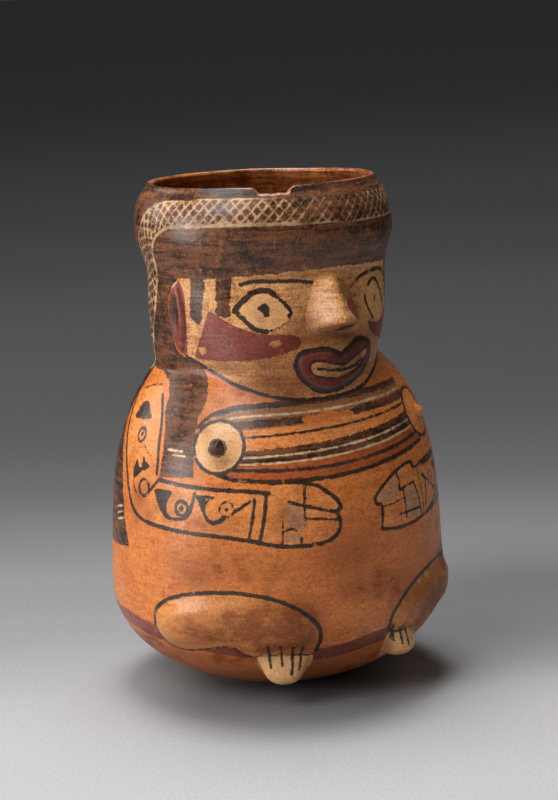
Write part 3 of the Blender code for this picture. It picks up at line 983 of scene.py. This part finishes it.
# %% Paint the arms
BODY_AXIS = -4.0
LOWER_ARM_LINE = 1.5
UPPER_ARM_LINE = 1.4
HAND_LINE = 1.3
ARM = [
    (-109.5, 104), (-106.5, 97.5), (-101.7, 88.5), (-96.3, 78.5), (-91.5, 70.5), (-85, 66), (-74, 64.4),
    (-60.5, 63.6), (-47.3, 62.7), (-39.7, 61.5), (-32.2, 59.9), (-25.5, 59.2), (-18, 59.3), (-13.2, 60.6),
    (-10.6, 63), (-9.8, 66.5), (-10.6, 69.3), (-9.3, 71), (-10.3, 73.3), (-12.7, 75.9), (-17, 78.9),
    (-22, 80.2), (-29.5, 80.6), (-32.7, 80.4), (-33.2, 77.3), (-40.7, 78.2), (-53.7, 78.7), (-65, 79.4),
    (-75.3, 80.3), (-76.6, 82), (-77.3, 89), (-79.2, 98), (-82, 103.5), (-85.3, 107.4), (-89, 110),
    (-96, 109.3), (-103, 107.6),
]
ARM_LINES = (
    (ARM[:21], 1.5), (ARM[20:24], 1.1), (ARM[24:29], 1.5), (ARM[29:34], 1.4), (ARM[34:], 0.8),
    ([(-38.1, 75.8), (-39.1, 68.5), (-40.4, 62.6)], 1.1),
    ([(-34.3, 76.5), (-35, 70.3), (-36.7, 61.8)], 1.4), ([(-26.7, 74.2), (-21, 72.3), (-10.8, 69.3)], 1.2),
    ([(-21.8, 68.4), (-11, 66.9)], 0.9), ([(-21.3, 79.6), (-21.7, 72), (-22.2, 65.8)], 0.9),
    ([(-29, 68.2), (-29.2, 65.8)], 0.8), ([(-29.4, 64.4), (-29.5, 60.9)], 0.9),
    ([(-28, 64.7), (-26.2, 65.2), (-24.4, 64.3)], 0.9), ([(-23.2, 62.1), (-23.3, 60.5)], 0.8),
)
NAILS = (
    [(-28.3, 73.3), (-25.7, 73.8), (-21.7, 71.9), (-22, 65.6), (-22.8, 64.9), (-28, 65.2)],
    [(-28.8, 64.1), (-27.2, 64.3), (-22.9, 63), (-23.6, 60.5), (-28.6, 60.5)],
)
LEFT_HAND = [
    (4.3, 72.4), (8.5, 75.6), (14.1, 78.6), (20.1, 80.3), (25.1, 80.6), (27, 78.3), (34.7, 79.3),
    (49.2, 80.5), (62, 80.5), (60, 67), (45, 65.6), (35.9, 63), (28.8, 61.4), (21.4, 60.4), (14.1, 60.1),
    (9.4, 60.6), (6.1, 61.2), (6.7, 65), (6.6, 69.1), (4.4, 70.1),
]
LEFT_HAND_LINES = (
    ([(15.7, 78), (16.6, 75.6), (16.1, 72.5), (18.6, 73.2), (24.8, 73.6)], 1.0),
    ([(25.2, 73), (26.7, 68), (27.6, 61.4)], 1.0), ([(18, 72.7), (18.3, 67.5), (18, 62.9)], 0.9),
    ([(14.7, 64.5), (26.5, 64.6)], 0.9), ([(28.7, 77.6), (29.7, 69.7), (29.4, 62.2)], 0.9),
    ([(33.4, 75.4), (33.5, 70.1), (31.4, 63.5)], 0.8), ([(6.7, 68.4), (12, 68.8), (18.2, 69.5)], 0.6),
)
LEFT_NAILS = (
    [(18.2, 72.9), (25, 72.9), (26.5, 68), (26.4, 64.8), (18.4, 65.4)],
    [(18.4, 64.9), (26.9, 64.3), (27.3, 61.3), (18.7, 62)],
)
LEFT_THUMB_NAIL = [(5, 72), (10, 75.1), (15.2, 77.6), (15.6, 74.3), (15, 71.6), (12.2, 69.9), (7.5, 69.6)]

patch("amber", ARM)
draw(ARM_LINES)
left_arm = mirrored(ARM[:10] + ARM[25:], BODY_AXIS)
patch("amber", left_arm)
draw(((left_arm[:10], LOWER_ARM_LINE), (left_arm[10:], UPPER_ARM_LINE)))
patch("amber", LEFT_HAND)
draw(((LEFT_HAND[:8], HAND_LINE), (LEFT_HAND[9:] + LEFT_HAND[:1], HAND_LINE)))
draw(LEFT_HAND_LINES)
for nail in (*NAILS, *LEFT_NAILS, LEFT_THUMB_NAIL):
    patch("grey", nail, straight)
print("arms laid on")

# %% Paint the marks on the arms
WEDGE = [(-99.5, 98.2), (-99.5, 100.5), (-97.5, 103.6), (-92.5, 104), (-89, 101.5), (-87, 99.2)]
CLAW = [
    (-91, 78.8), (-91.7, 81.8), (-91, 83.8), (-89.9, 85.3), (-87.8, 83.3), (-86.2, 83.4), (-85.8, 87.3),
    (-84.2, 85.6), (-81, 83.9), (-84.8, 82), (-88, 80.2),
]
HOOK = [
    (-76.8, 76.8), (-69, 77), (-70.2, 74.2), (-71, 71.5), (-70.8, 69.5), (-69, 68.5), (-69.8, 67.2),
    (-72.3, 68.3), (-74.3, 70.8), (-76, 73.8),
]
SECOND_HOOK = [
    (-58.6, 76.4), (-51.6, 76.3), (-53.5, 74.8), (-55, 73.6), (-55.2, 71.5), (-56.2, 70.5), (-57.5, 73),
]
RINGS = (
    ((-90, 93.6), 2.4, 1.2), ((-83.2, 76.6), 2.9, 1.2), ((-64.5, 71.6), 2.5, 1.3),
    ((-47.7, 72.2), 2.5, 0.8),
)
DOTS = (((-90, 93.8), 0.9), ((-64.5, 71.7), 1.0), ((-47.7, 72.2), 0.8))
HOOK_TAIL = [
    (-71.5, 68.6), (-69.3, 67.8), (-66.5, 67.9), (-63.8, 68.3), (-61.8, 69.7), (-60.6, 72), (-59.5, 77),
]
MARK_LINES = (
    ([(-86.8, 90.4), (-81.6, 87.5)], 0.8), ([(-91, 78.6), (-89.9, 75.8), (-87.6, 74.3)], 0.9),
    ([(-81.2, 74.3), (-78, 77.6), (-75.6, 80)], 1.1),
    (HOOK_TAIL, 1.3),
    ([(-56.2, 72.5), (-55.4, 70.1), (-54.2, 68.2), (-52.5, 67.5), (-50.6, 68), (-49, 68.9)], 1.4),
    ([(-45, 71.4), (-39.6, 74.8)], 1.1),
)


def paint_marks(turn):
    """All marks of one arm, with their points turned to its side."""
    for mark in (WEDGE, CLAW, HOOK, SECOND_HOOK):
        patch("line", turn(mark))
    for middle, radius, width in RINGS:
        stroke("line", disc(turn([middle])[0], radius), width)
    for middle, radius in DOTS:
        fill("line", disc(turn([middle])[0], radius))
    draw(MARK_LINES, turn)


paint_marks(as_drawn)
paint_marks(lambda points: mirrored(points, BODY_AXIS))
print("marks laid on both arms")

# %% [markdown]
# ## Legs, feet and ground stripe
# The folded legs are long rounded patches of paler slip, and the feet that stand out under them have their
# toes marked with short dark ticks. A dark red stripe runs round the cup at the height of the feet, under
# the legs, and a thin pale stroke along part of its top edge is a painted highlight.

# %% Paint the legs
GROUND = [
    (-180, 27), (-140, 27.6), (-100, 28.7), (-78, 26.2), (-48, 22.4), (-18, 19.7), (6, 23.4), (30, 25),
    (60, 26.4), (100, 27.4), (140, 27.2), (180, 27),
]
GROUND_WIDTH = 6.2
GROUND_HIGHLIGHT_LINE = 0.5
LEG_TOP_LINE = 1.5
LEG_FOOT_LINE = 1.0
FOOT_LINE = 0.8
TOE_LINE = 1.0
# Painted highlight: a thin pale stroke along the top of the stripe in front.
GROUND_EDGE_HIGHLIGHT = [(-9, 24), (-2, 25.9), (6, 26.8)]
LEG = [
    (-77.6, 32.5), (-76, 35.9), (-71.5, 39.4), (-64.6, 41.8), (-56.7, 43.3), (-48, 43.8), (-40.3, 43.2),
    (-33, 41.4), (-26.5, 38.2), (-21.6, 34.3), (-18.8, 30.6), (-18.2, 26.2), (-19.5, 21.5), (-24, 20.4),
    (-34, 20.6), (-41, 19.6), (-44.8, 21), (-48.4, 23.4), (-53.4, 23.6), (-62.4, 21.6), (-70, 20.9),
    (-76, 23), (-78.2, 28),
]
LEG_AXIS = -5.0
RIGHT_FOOT = [
    (-40, 20.3), (-30, 20.5), (-20.5, 19.9), (-21.5, 12), (-24, 7.4), (-31, 6), (-37.5, 7.4), (-40.5, 12),
]
LEFT_FOOT = [
    (8.4, 22.8), (9, 24.2), (14, 24.6), (22.4, 23.8), (23.4, 18), (21, 13), (16.5, 11.4), (12.5, 13),
    (9.4, 18),
]
TOE_LINES = (
    [(-35.9, 25), (-36.1, 19.5), (-35.7, 17.7)], [(-31.9, 25), (-31.5, 18.2)],
    [(-27.5, 24.1), (-27.8, 17.9), (-28.3, 16.4)], [(-24.2, 23.7), (-24.8, 18.8), (-25.3, 17)],
    [(9.8, 26.5), (10.1, 24), (10.6, 21.6)], [(14.6, 26.4), (12.9, 24.7), (13.4, 21.5)],
    [(15.5, 25), (15.6, 24), (16.1, 21.2)],
)
# Small cream spots on the legs.
LEG_CREAM_SPOTS = (((-23.6, 33.7), 1.3), ((-30, 33.8), 0.8), ((27.2, 40.7), 1.3), ((22.3, 39.4), 0.9))
LEG_SWELL = 1.7
LEG_RUN = 7

stroke("plum", curve(GROUND), GROUND_WIDTH)
# The pale stroke is a painted highlight.
stroke("pale", curve(GROUND_EDGE_HIGHLIGHT), GROUND_HIGHLIGHT_LINE)
for turn in (as_drawn, lambda points: mirrored(points, LEG_AXIS)):
    leg = curve(turn(LEG), closed=True)
    scrape("plum", leg)
    fill("leg", leg)
    swell(leg, LEG_SWELL, LEG_RUN)
    draw(((LEG[:13], LEG_TOP_LINE), (LEG[15:] + LEG[:1], LEG_FOOT_LINE)), turn)
for foot in (RIGHT_FOOT, LEFT_FOOT):
    route = curve(foot, closed=True)
    for slip in ("plum", "leg", "line"):
        scrape(slip, route)
    fill("cream", route)
    stroke("line", curve(foot[:3]), FOOT_LINE)
for points in TOE_LINES:
    stroke("line", straight(points), TOE_LINE)
for middle, radius in LEG_CREAM_SPOTS:
    fill("cream", disc(middle, radius))
print("legs and stripe laid on")

# %% [markdown]
# ## Stains and painted shade
# Handling and burial left brown stains on the face and the legs, and the same kind of soft spot paints shade
# under the chin and the nose, round the nipple and on the shaded side of the cup. The spots add up to a share
# of stain and painted shade, which also grows towards the bottom of the bowl and which the material breaks up
# with its own noise.

# %% Lay the stains and painted shade
# Stains and painted shade, each spot with its middle, its half width in degrees and half height, and its
# strength.
STAINS_AND_PAINTED_SHADE = (
    ((-22, 109.5), (12, 5), 0.9), ((-31, 112.5), (8, 3.4), 0.65), ((-43, 111), (8, 3), 0.5),
    ((-8, 127), (9, 3), 0.75), ((4, 125.6), (9, 3), 0.85), ((2, 115), (24, 9), 0.75),
    ((-17, 130), (7, 6), 0.45), ((26, 124), (10, 6), 0.6), ((-20, 147.5), (30, 1.6), 0.5),
    ((12, 138), (6, 9), 0.5), ((-54, 30), (10, 5), 0.6), ((-43, 33), (10, 7), 0.75),
    ((-28, 32), (9, 9), 0.95), ((-32, 25), (11, 4), 0.85), ((-60, 27.8), (9, 4), 0.5),
    ((-24, 36), (5, 5), 0.6), ((25, 33), (14, 10), 0.7), ((36, 28), (14, 7), 0.75),
    ((44, 38), (12, 9), 0.6), ((9, 43), (8, 6), 0.5), ((-5, 41.5), (9, 4), 0.5),
    ((-49.5, 88.4), (4, 3), 0.5), ((-51.4, 92.3), (4.6, 4.2), 0.45), ((-38, 52), (16, 7), 0.4),
    ((-58, 51), (13, 8), 0.5), ((-27, 68), (7, 6), 0.4), ((-22, 101), (12, 4), 0.4),
    ((-33, 136.6), (9, 5), 0.3), ((-53, 117.8), (11, 3), 0.5), ((-50, 67), (9, 4.5), 0.5),
    ((-68, 68), (6, 4), 0.3), ((-86, 72), (7, 7), 0.75), ((-26, 120), (40, 15), 0.38),
    ((-7, 53), (13, 10), 0.5), ((-79, 134), (6, 9), 0.6), ((1, 128.8), (8, 1.8), 0.9),
    ((6, 119), (14, 6), 0.65), ((-55, 92), (10, 9), 0.28), ((-13.5, 132), (4, 4.5), 0.4),
    ((-18, 143), (6, 4), 0.3), ((-17, 128), (7, 3), 0.45), ((-34, 119.6), (7, 4), 0.4),
    ((-30, 124), (6, 3), 0.3), ((-26, 34), (9, 7), 0.6), ((-92, 18), (18, 8), 0.6),
)
BOWL_DARKENING = 0.45
BOWL_FROM = 27
BOWL_RUN = 9
FOOT_SHARE_OF_DARKENING = 0.05

# The bowl grows darker towards the bottom, and the feet stay paler than the bowl beside them.
free_of_dirt_and_shade = 1 - BOWL_DARKENING * ease((BOWL_FROM - LEVEL) / BOWL_RUN) * np.where(fields["cream"] > 0, 1, FOOT_SHARE_OF_DARKENING)
for (azimuth, level), (half_turn, half_height), strength in STAINS_AND_PAINTED_SHADE:
    off = np.hypot((AZIMUTH - azimuth) / half_turn, (LEVEL - level) / half_height)
    free_of_dirt_and_shade *= 1 - strength * hill(off)
print(len(STAINS_AND_PAINTED_SHADE), "stains, from", round(float(1 - free_of_dirt_and_shade.max()), 2), "to", round(float(1 - free_of_dirt_and_shade.min()), 2))

# %% [markdown]
# ## Raise the low relief and store the paint
# The legs, lips and breasts swell a little under their paint, from the same outlines. Every vertex of a
# course now goes to its place on the skin, the rim gets its waves and its old chip, and the distances are
# stored on the meshes as attributes.

# %% Shape the wall
RIM_WAVE = 0.25
RIM_FROM = 160
CHIP_AZIMUTH = -25.5
CHIP_HALF_ANGLE = 11.5
CHIP_DEPTH = 2.5
CHIP_FROM = 165
ON_FLOOR = 0.02

sizes = [len(places[name][0]) for name in names]
RELIEF = dict(zip(names, np.split(RAISED, np.cumsum(sizes)[:-1])))


def chip_floor(azimuth):
    """Height that the rim keeps across the chip, with a rough broken edge."""
    away = np.abs(azimuth - CHIP_AZIMUTH) / CHIP_HALF_ANGLE
    rough = 0.12 * np.sin(azimuth * 0.9) + 0.07 * np.sin(azimuth * 2.3 + 1)
    return RIM_LEVEL - (CHIP_DEPTH + rough) * ease(2 * (1 - away))


def shape_course(piece):
    """Puts a course's vertices on the skin, and keeps how much clay broke off at each."""
    azimuth, level, share, radius = places[piece.name]
    outer = skin_radius(azimuth, level) + RELIEF[piece.name]
    inner = np.where(level < inner_corners[0][0], 0, inner_outline(level))
    radius = np.where(share > 0, inner + share * (outer - inner), radius)
    radius = np.where(level < ON_FLOOR, np.hypot(*vertex_places(piece).T[:2]), radius)
    turn = np.radians(azimuth)
    at_rim = ease((level - RIM_FROM) / (RIM_LEVEL - RIM_FROM))
    wave = RIM_WAVE * (np.sin(2 * turn + 0.6) + 0.5 * np.sin(5 * turn)) * at_rim
    chipped = np.minimum(level + wave, np.where(level > CHIP_FROM, chip_floor(azimuth), np.inf))
    piece.data.vertices.foreach_set("co", np.ravel(on_turn(azimuth, radius, chipped) * MM))
    broken = level + wave - chipped
    places[piece.name] = (azimuth, chipped, share, broken)


for piece in courses:
    shape_course(piece)
print("relief up to", round(float(RAISED.max()), 2), "mm")

# %% Store the paint
SMOOTH_UP_TO = math.radians(50)

start = 0
for name in names:
    piece = pieces[name]
    count = len(places[name][0])
    span = slice(start, start + count)
    broken = places[name][3]
    layers = {f"slip_{slip}": np.where(OUTSIDE[span], fields[slip][span], FAR) for slip in SLIPS}
    layers["inside"] = 1 - SHARE[span]
    layers["broken"] = np.zeros(count) if broken is None else broken
    # Stains and painted shade are stored as one share.
    layers["dirt"] = 1 - free_of_dirt_and_shade[span]
    for layer, values in layers.items():
        attribute = piece.data.attributes.new(layer, "FLOAT", "POINT")
        attribute.data.foreach_set("value", values.astype(np.float32))
    start += count
    piece.data.update()
    bpy.ops.object.select_all(action="DESELECT")
    piece.select_set(True)
    bpy.context.view_layer.objects.active = piece
    bpy.ops.object.shade_smooth_by_angle(angle=SMOOTH_UP_TO)
print("stored", len(SLIPS), "slips on", len(names), "pieces")

# %% [markdown]
# ## Fired slip
# Burnished slip is coloured clay polished with a stone before firing: satin, a little streaky, with specks
# and worn spots. One material serves the whole cup, because the real one is a single fired surface. It
# starts from the orange body and covers it with each slip in turn, where that slip's distance says so.
# Noise bends the edges and wears holes in the paint.

# %% Shader values
class Shade:
    """A shader value that can be used in plain arithmetic, and that can ask for any other node."""

    def __init__(self, tree, socket):
        self.tree = tree
        self.socket = socket

    def node(self, kind, settings=None, inputs=None, out=0):
        """Any node, with its settings and inputs. A ramp takes its grey stops as (position, tone)."""
        made = self.tree.nodes.new(kind)
        for key, value in (settings or {}).items():
            if key == "stops":
                made.color_ramp.interpolation = "CARDINAL"
                for _ in value[2:]:
                    made.color_ramp.elements.new(1.0)
                for stop, (position, tone) in zip(made.color_ramp.elements, value):
                    stop.position = position
                    stop.color = (tone, tone, tone, 1)
            else:
                setattr(made, key, value)
        for key, value in (inputs or {}).items():
            if isinstance(value, Shade):
                self.tree.links.new(value.socket, made.inputs[key])
            else:
                made.inputs[key].default_value = value
        return Shade(self.tree, made.outputs[out])

    def math(self, operation, *values):
        """A maths node on the values given."""
        return self.node("ShaderNodeMath", {"operation": operation}, dict(enumerate(values)))

    def __add__(self, other):
        return self.math("ADD", self, other)

    def __sub__(self, other):
        return self.math("SUBTRACT", self, other)

    def __rsub__(self, other):
        return self.math("SUBTRACT", other, self)

    def __mul__(self, other):
        return self.math("MULTIPLY", self, other)

    __radd__ = __add__
    __rmul__ = __mul__

    def between(self, low, high):
        """0 below low, 1 above high, eased between. Low may be the greater one."""
        settings = {"interpolation_type": "SMOOTHSTEP"}
        return self.node("ShaderNodeMapRange", settings, {"Value": self, "From Min": low, "From Max": high})

    def tint(self, first, second):
        """The first colour where this is 0, the second where it is 1."""
        colours = [value if isinstance(value, Shade) else (*value, 1) for value in (first, second)]
        inputs = {0: self, 6: colours[0], 7: colours[1]}
        return self.node("ShaderNodeMix", {"data_type": "RGBA"}, inputs, out=2)

    def stored(self, name):
        """A value that was stored on the vertices."""
        return self.node("ShaderNodeAttribute", {"attribute_name": name}, out=2)

    def vector(self, operation, other, out=0):
        """Vector arithmetic with this as its first input."""
        return self.node("ShaderNodeVectorMath", {"operation": operation}, {0: self, 1: other}, out=out)

    def scaled(self, factor):
        """This colour made brighter or darker by a factor."""
        return self.node("ShaderNodeVectorMath", {"operation": "SCALE"}, {0: self, "Scale": factor})

    def noise(self, scale, detail=2.0, stretch=(1, 1, 1)):
        """Noise at this place, about 0.5."""
        place = self.node("ShaderNodeMapping", {"vector_type": "POINT"}, {"Vector": self, "Scale": stretch})
        return place.node("ShaderNodeTexNoise", None, {"Vector": place, "Scale": scale, "Detail": detail})


print("shader values ready")

# %% New materials
def new_material(name):
    """An empty Principled material, with its shader and Object coordinates."""
    material = bpy.data.materials.new(name)
    material.use_nodes = True
    tree = material.node_tree
    shader = tree.nodes["Principled BSDF"]
    coordinates = tree.nodes.new("ShaderNodeTexCoord")
    return material, shader, Shade(tree, coordinates.outputs["Object"])


def feed(shader, name, value):
    """Links a value to one of the shader's inputs."""
    value.tree.links.new(value.socket, shader.inputs[name])


print("material helpers ready")

# %% Slip colours
ORANGE = ((0.46, 0.115, 0.022), (0.76, 0.250, 0.058))
STAIN_AND_SHADE_BROWN = (0.36, 0.25, 0.19)
SLIP_COLOURS = {
    "amber": ((0.506, 0.144, 0.032), (0.874, 0.322, 0.089)),
    "leg": ((0.46, 0.145, 0.032), (0.78, 0.315, 0.088)),
    "tan": ((0.32, 0.110, 0.030), (0.94, 0.490, 0.200)),
    "red": ((0.28, 0.054, 0.014), (0.52, 0.125, 0.032)),
    "cream": ((0.66, 0.310, 0.110), (0.90, 0.520, 0.230)),
    "grey": ((0.40, 0.165, 0.068), (0.62, 0.310, 0.155)),
    "plum": ((0.17, 0.034, 0.023), (0.33, 0.078, 0.048)),
    "brown": ((0.19, 0.072, 0.028), (0.42, 0.180, 0.070)),
    "dark": ((0.023, 0.010, 0.005), (0.25, 0.090, 0.036)),
    "net": ((0.40, 0.225, 0.112), (0.72, 0.470, 0.265)),
    "pale": ((0.52, 0.33, 0.170), (0.82, 0.60, 0.37)),
    "line": ((0.022, 0.012, 0.008), (0.075, 0.040, 0.024)),
}
SLIP_WEAR = {"tan": 0.2, "plum": 0.45, "brown": 0.5, "dark": 0.25, "net": 0.6, "pale": 0.8, "line": 0.6}
CLAY_INSIDE = ((0.11, 0.028, 0.006), (0.50, 0.165, 0.046))
BROKEN_CLAY = (0.34, 0.125, 0.062)
SPECK = (0.05, 0.025, 0.015)
print(len(SLIP_COLOURS), "slips from a dark to a light shade each")

# %% Burnished slip
# Slips that stand a little proud, and how much further than the others a slip's edge strays.
THICK_SLIPS = ("dark", "line", "plum")
RAGGED = {"dark": 1.9}
EDGE = 0.2
NET_LEFT = (0.38, 0.57)
WORN_BELOW = (0.37, 0.31)
GLOSS = 0.4
BUMP_STRENGTH = 0.35
BUMP_METRES = 0.0005


def burnished_slip():
    """The one material of the cup."""
    material, shader, place = new_material("burnished_slip")
    cloud = place.noise(38, 3)
    mottle = place.noise(150, 4)
    grain = place.noise(620, 3)
    fine = place.noise(1700, 2)
    streak = place.noise(55, 4, (1, 1, 11))
    brushed = place.noise(170, 3, (1, 1, 8))
    flake = place.noise(330, 4)
    wobble = (place.noise(420, 2) - 0.5) * 0.8 + (fine - 0.5) * 0.5
    tone = cloud * 0.2 + streak * 0.1 + brushed * 0.2 + mottle * 0.16 + grain * 0.16 + fine * 0.18
    tone = tone.between(0.40, 0.60)
    rubbed = cloud * 0.2 + streak * 0.2 + brushed * 0.16 + mottle * 0.16 + grain * 0.13 + fine * 0.15
    rubbed = rubbed.between(0.43, 0.61)
    colour = tone.tint(*ORANGE)
    cover = None
    for slip, shades in SLIP_COLOURS.items():
        distance = place.stored(f"slip_{slip}")
        mask = (distance + wobble * RAGGED.get(slip, 1.0)).between(EDGE, -EDGE)
        if slip in SLIP_WEAR:
            mask = mask * (1 - flake.between(*WORN_BELOW) * SLIP_WEAR[slip])
        if slip == "net":
            mask = mask * (NET_LEFT[0] + mottle.between(0.36, 0.6) * NET_LEFT[1])
        colour = mask.tint(colour, (rubbed if slip == "dark" else tone).tint(*shades))
        if slip in THICK_SLIPS:
            cover = mask if cover is None else cover.math("MAXIMUM", cover, mask)
    # The stored share browns the colour: real stains, painted shade under the chin and nose and on the shaded
    # side, and the darkening towards the bottom of the bowl.
    dirt = place.stored("dirt")
    patchy = (cloud * 0.45 + mottle * 0.35 + brushed * 0.2).between(0.5, 0.66) * 0.55
    blotch = (mottle * 0.5 + grain * 0.25 + brushed * 0.25).between(0.35, 0.62)
    soiled_and_shaded = patchy + dirt * (0.3 + blotch * 0.9 + dirt * 0.35)
    stain_and_shade = soiled_and_shaded.math("MINIMUM", soiled_and_shaded, 1.0)
    multiply = {"data_type": "RGBA", "blend_type": "MULTIPLY"}
    colour = stain_and_shade.node("ShaderNodeMix", multiply, {0: stain_and_shade, 6: colour, 7: (*STAIN_AND_SHADE_BROWN, 1)}, out=2)
    colour = colour.scaled(0.55 + fine * 0.62 + grain * 0.28)
    speck = (grain * 0.55 + fine * 0.45).between(0.59, 0.67) * 0.6
    colour = speck.tint(colour, SPECK)
    colour = place.stored("inside").between(0.35, 0.6).tint(colour, rubbed.tint(*CLAY_INSIDE))
    colour = place.stored("broken").between(0.05, 0.3).tint(colour, BROKEN_CLAY)
    feed(shader, "Base Color", colour)
    feed(shader, "Roughness", 0.14 + grain * 0.14 + mottle * 0.14 + stain_and_shade * 0.2)
    height = streak * 0.35 + brushed * 0.25 + mottle * 0.35 + grain * 0.3 + fine * 0.2 + cover * 0.1
    relief = {"Height": height, "Strength": BUMP_STRENGTH, "Distance": BUMP_METRES}
    feed(shader, "Normal", height.node("ShaderNodeBump", None, relief))
    shader.inputs["Specular IOR Level"].default_value = GLOSS
    return material


slip_material = burnished_slip()
print("burnished slip has", len(slip_material.node_tree.nodes), "nodes")

# %% [markdown]
# ## Tie the pieces to the model
# Each skin stands for the node it covers and rides on the cup's one body.

# %% Ride and replace
SLOTS = {
    "base_bowl_skin": "orange_slip", "belly_wall_skin": "orange_slip", "shoulder_wall_skin": "orange_slip",
    "face_wall_skin": "tan_slip", "headcloth_wall_skin": "dark_slip", "nose_clay": "tan_slip",
    "right_ear_clay": "plum_slip", "left_ear_clay": "plum_slip", "right_nipple_clay": "dark_slip",
    "left_nipple_clay": "dark_slip", "right_foot_clay": "cream_slip", "left_foot_clay": "cream_slip",
}
for name, slot in SLOTS.items():
    piece = pieces[name]
    piece.data.materials.clear()
    piece.data.materials.append(slip_material)
    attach(piece, "root")
    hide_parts(name.rsplit("_", 1)[0])
print(len(SLOTS), "pieces ride on the cup")

# %% [markdown]
# ## Floor and light
# The cup stands on a plain pale floor that runs back into shade and grows pale again far behind. A backdrop
# could be hung and lit for that, but here that shade and light are painted: the floor's tone changes with the
# distance behind the cup, and two soft pools of painted shadow darken it by the foot and on the shaded side.
# Six soft lights stand to the left, above and behind, and a weak warm one fills the shade on the right.

# %% Floor
FLOOR_REACH = 60.0
FLOOR_SIDES = 96
FLOOR_GRAIN = 900
# Distance behind the cup, and the floor's tone there, which paints the shade behind the cup and the paler
# floor far away.
FLOOR_TONES = (
    (-0.13, 0.38), (-0.06, 0.355), (-0.015, 0.31), (0.035, 0.255), (0.095, 0.215), (0.16, 0.185),
    (0.28, 0.116), (0.4, 0.083), (0.6, 0.074), (1.0, 0.097), (1.35, 0.124), (1.85, 0.195), (2.7, 0.32),
    (4.5, 0.37),
)
# Painted shadows on the floor: middle of each pool as aside and behind, where it starts and ends, and how
# dark it is.
FLOOR_PAINTED_SHADOWS = (((0.003, -0.038), (0.026, 0.06), 0.45), ((0.1, 0.07), (0.03, 0.13), 0.3))
FLOOR_TINT = (1.01, 1.0, 1.03)
FLOOR_START = 0.2
FLOOR_HALF_WAY = 0.5
FLOOR_ROUGHNESS = 0.9
FLOOR_GLOSS = 0.1


def floor_share(reach):
    """0 a little in front of the cup, a half soon behind it, and near 1 far away."""
    return (reach + FLOOR_START) / (reach + FLOOR_START + FLOOR_HALF_WAY)


bpy.ops.object.select_all(action="DESELECT")
bpy.ops.mesh.primitive_circle_add(vertices=FLOOR_SIDES, radius=FLOOR_REACH, fill_type="NGON")
floor = bpy.context.object
floor.name = "studio_floor"
floor_material, floor_shader, floor_place = new_material("studio_floor")
backward = heading @ Vector((0, 1, 0))
ahead = floor_place.vector("DOT_PRODUCT", tuple(backward), "Value") + FLOOR_START
spread = ahead.math("DIVIDE", ahead, ahead + FLOOR_HALF_WAY)
stops = [(floor_share(reach), tone) for reach, tone in FLOOR_TONES]
shade = spread.node("ShaderNodeValToRGB", {"stops": stops}, {0: spread})
grain = 0.82 + floor_place.noise(FLOOR_GRAIN, 2) * 0.36
# Each pool is a painted shadow that darkens the floor near the cup.
for (aside, behind), (near, far), shadow_depth in FLOOR_PAINTED_SHADOWS:
    middle = heading @ Vector((aside, behind, 0))
    away = floor_place.vector("DISTANCE", tuple(middle), "Value")
    grain = grain * (1 - away.between(far, near) * shadow_depth)
feed(floor_shader, "Base Color", shade.vector("MULTIPLY", FLOOR_TINT).scaled(grain))
floor_shader.inputs["Roughness"].default_value = FLOOR_ROUGHNESS
floor_shader.inputs["Specular IOR Level"].default_value = FLOOR_GLOSS
floor.data.materials.append(floor_material)
print("floor reaches", FLOOR_REACH, "m")

# %% Light
WHITE = (1.0, 1.0, 1.0)
WARM = (1.0, 0.84, 0.64)
# Name, place as right of, behind and above the cup in the camera's view, width, power and colour.
LIGHTS = (
    ("low_key", (-1.102, -0.445, 0.257), 0.5, 6.0, WHITE),
    ("high_key", (-0.597, -0.663, 0.893), 0.7, 9.4, WHITE),
    ("side_light", (-1.058, 0.344, 0.54), 0.6, 3.2, WHITE),
    ("shoulder_light", (-0.36, -0.09, 1.231), 0.5, 3.0, WHITE),
    ("back_left_light", (-0.155, 0.269, 1.249), 0.5, 6.0, WHITE),
    ("back_light", (0.0, 0.311, 1.249), 0.5, 9.0, WHITE),
    ("fill_light", (0.75, -0.43, 0.94), 0.9, 1.1, WARM),
)
AIM = Vector((0, 0, 0.09))
WORLD_FILL = 0.05

for name, spot, size, power, colour in LIGHTS:
    bpy.ops.object.light_add(type="AREA")
    lamp = bpy.context.object
    lamp.name = name
    lamp.data.size = size
    lamp.data.energy = power
    lamp.data.color = colour
    where = heading @ Vector(spot)
    facing = (AIM - where).to_track_quat("-Z", "Y").to_matrix().to_4x4()
    lamp.matrix_world = Matrix.Translation(where) @ facing
world = bpy.data.worlds.new("studio") if scene.world is None else scene.world
scene.world = world
world.use_nodes = True
background = world.node_tree.nodes["Background"]
background.inputs["Color"].default_value = (*WHITE, 1)
background.inputs["Strength"].default_value = WORLD_FILL
print(len(LIGHTS), "lights")
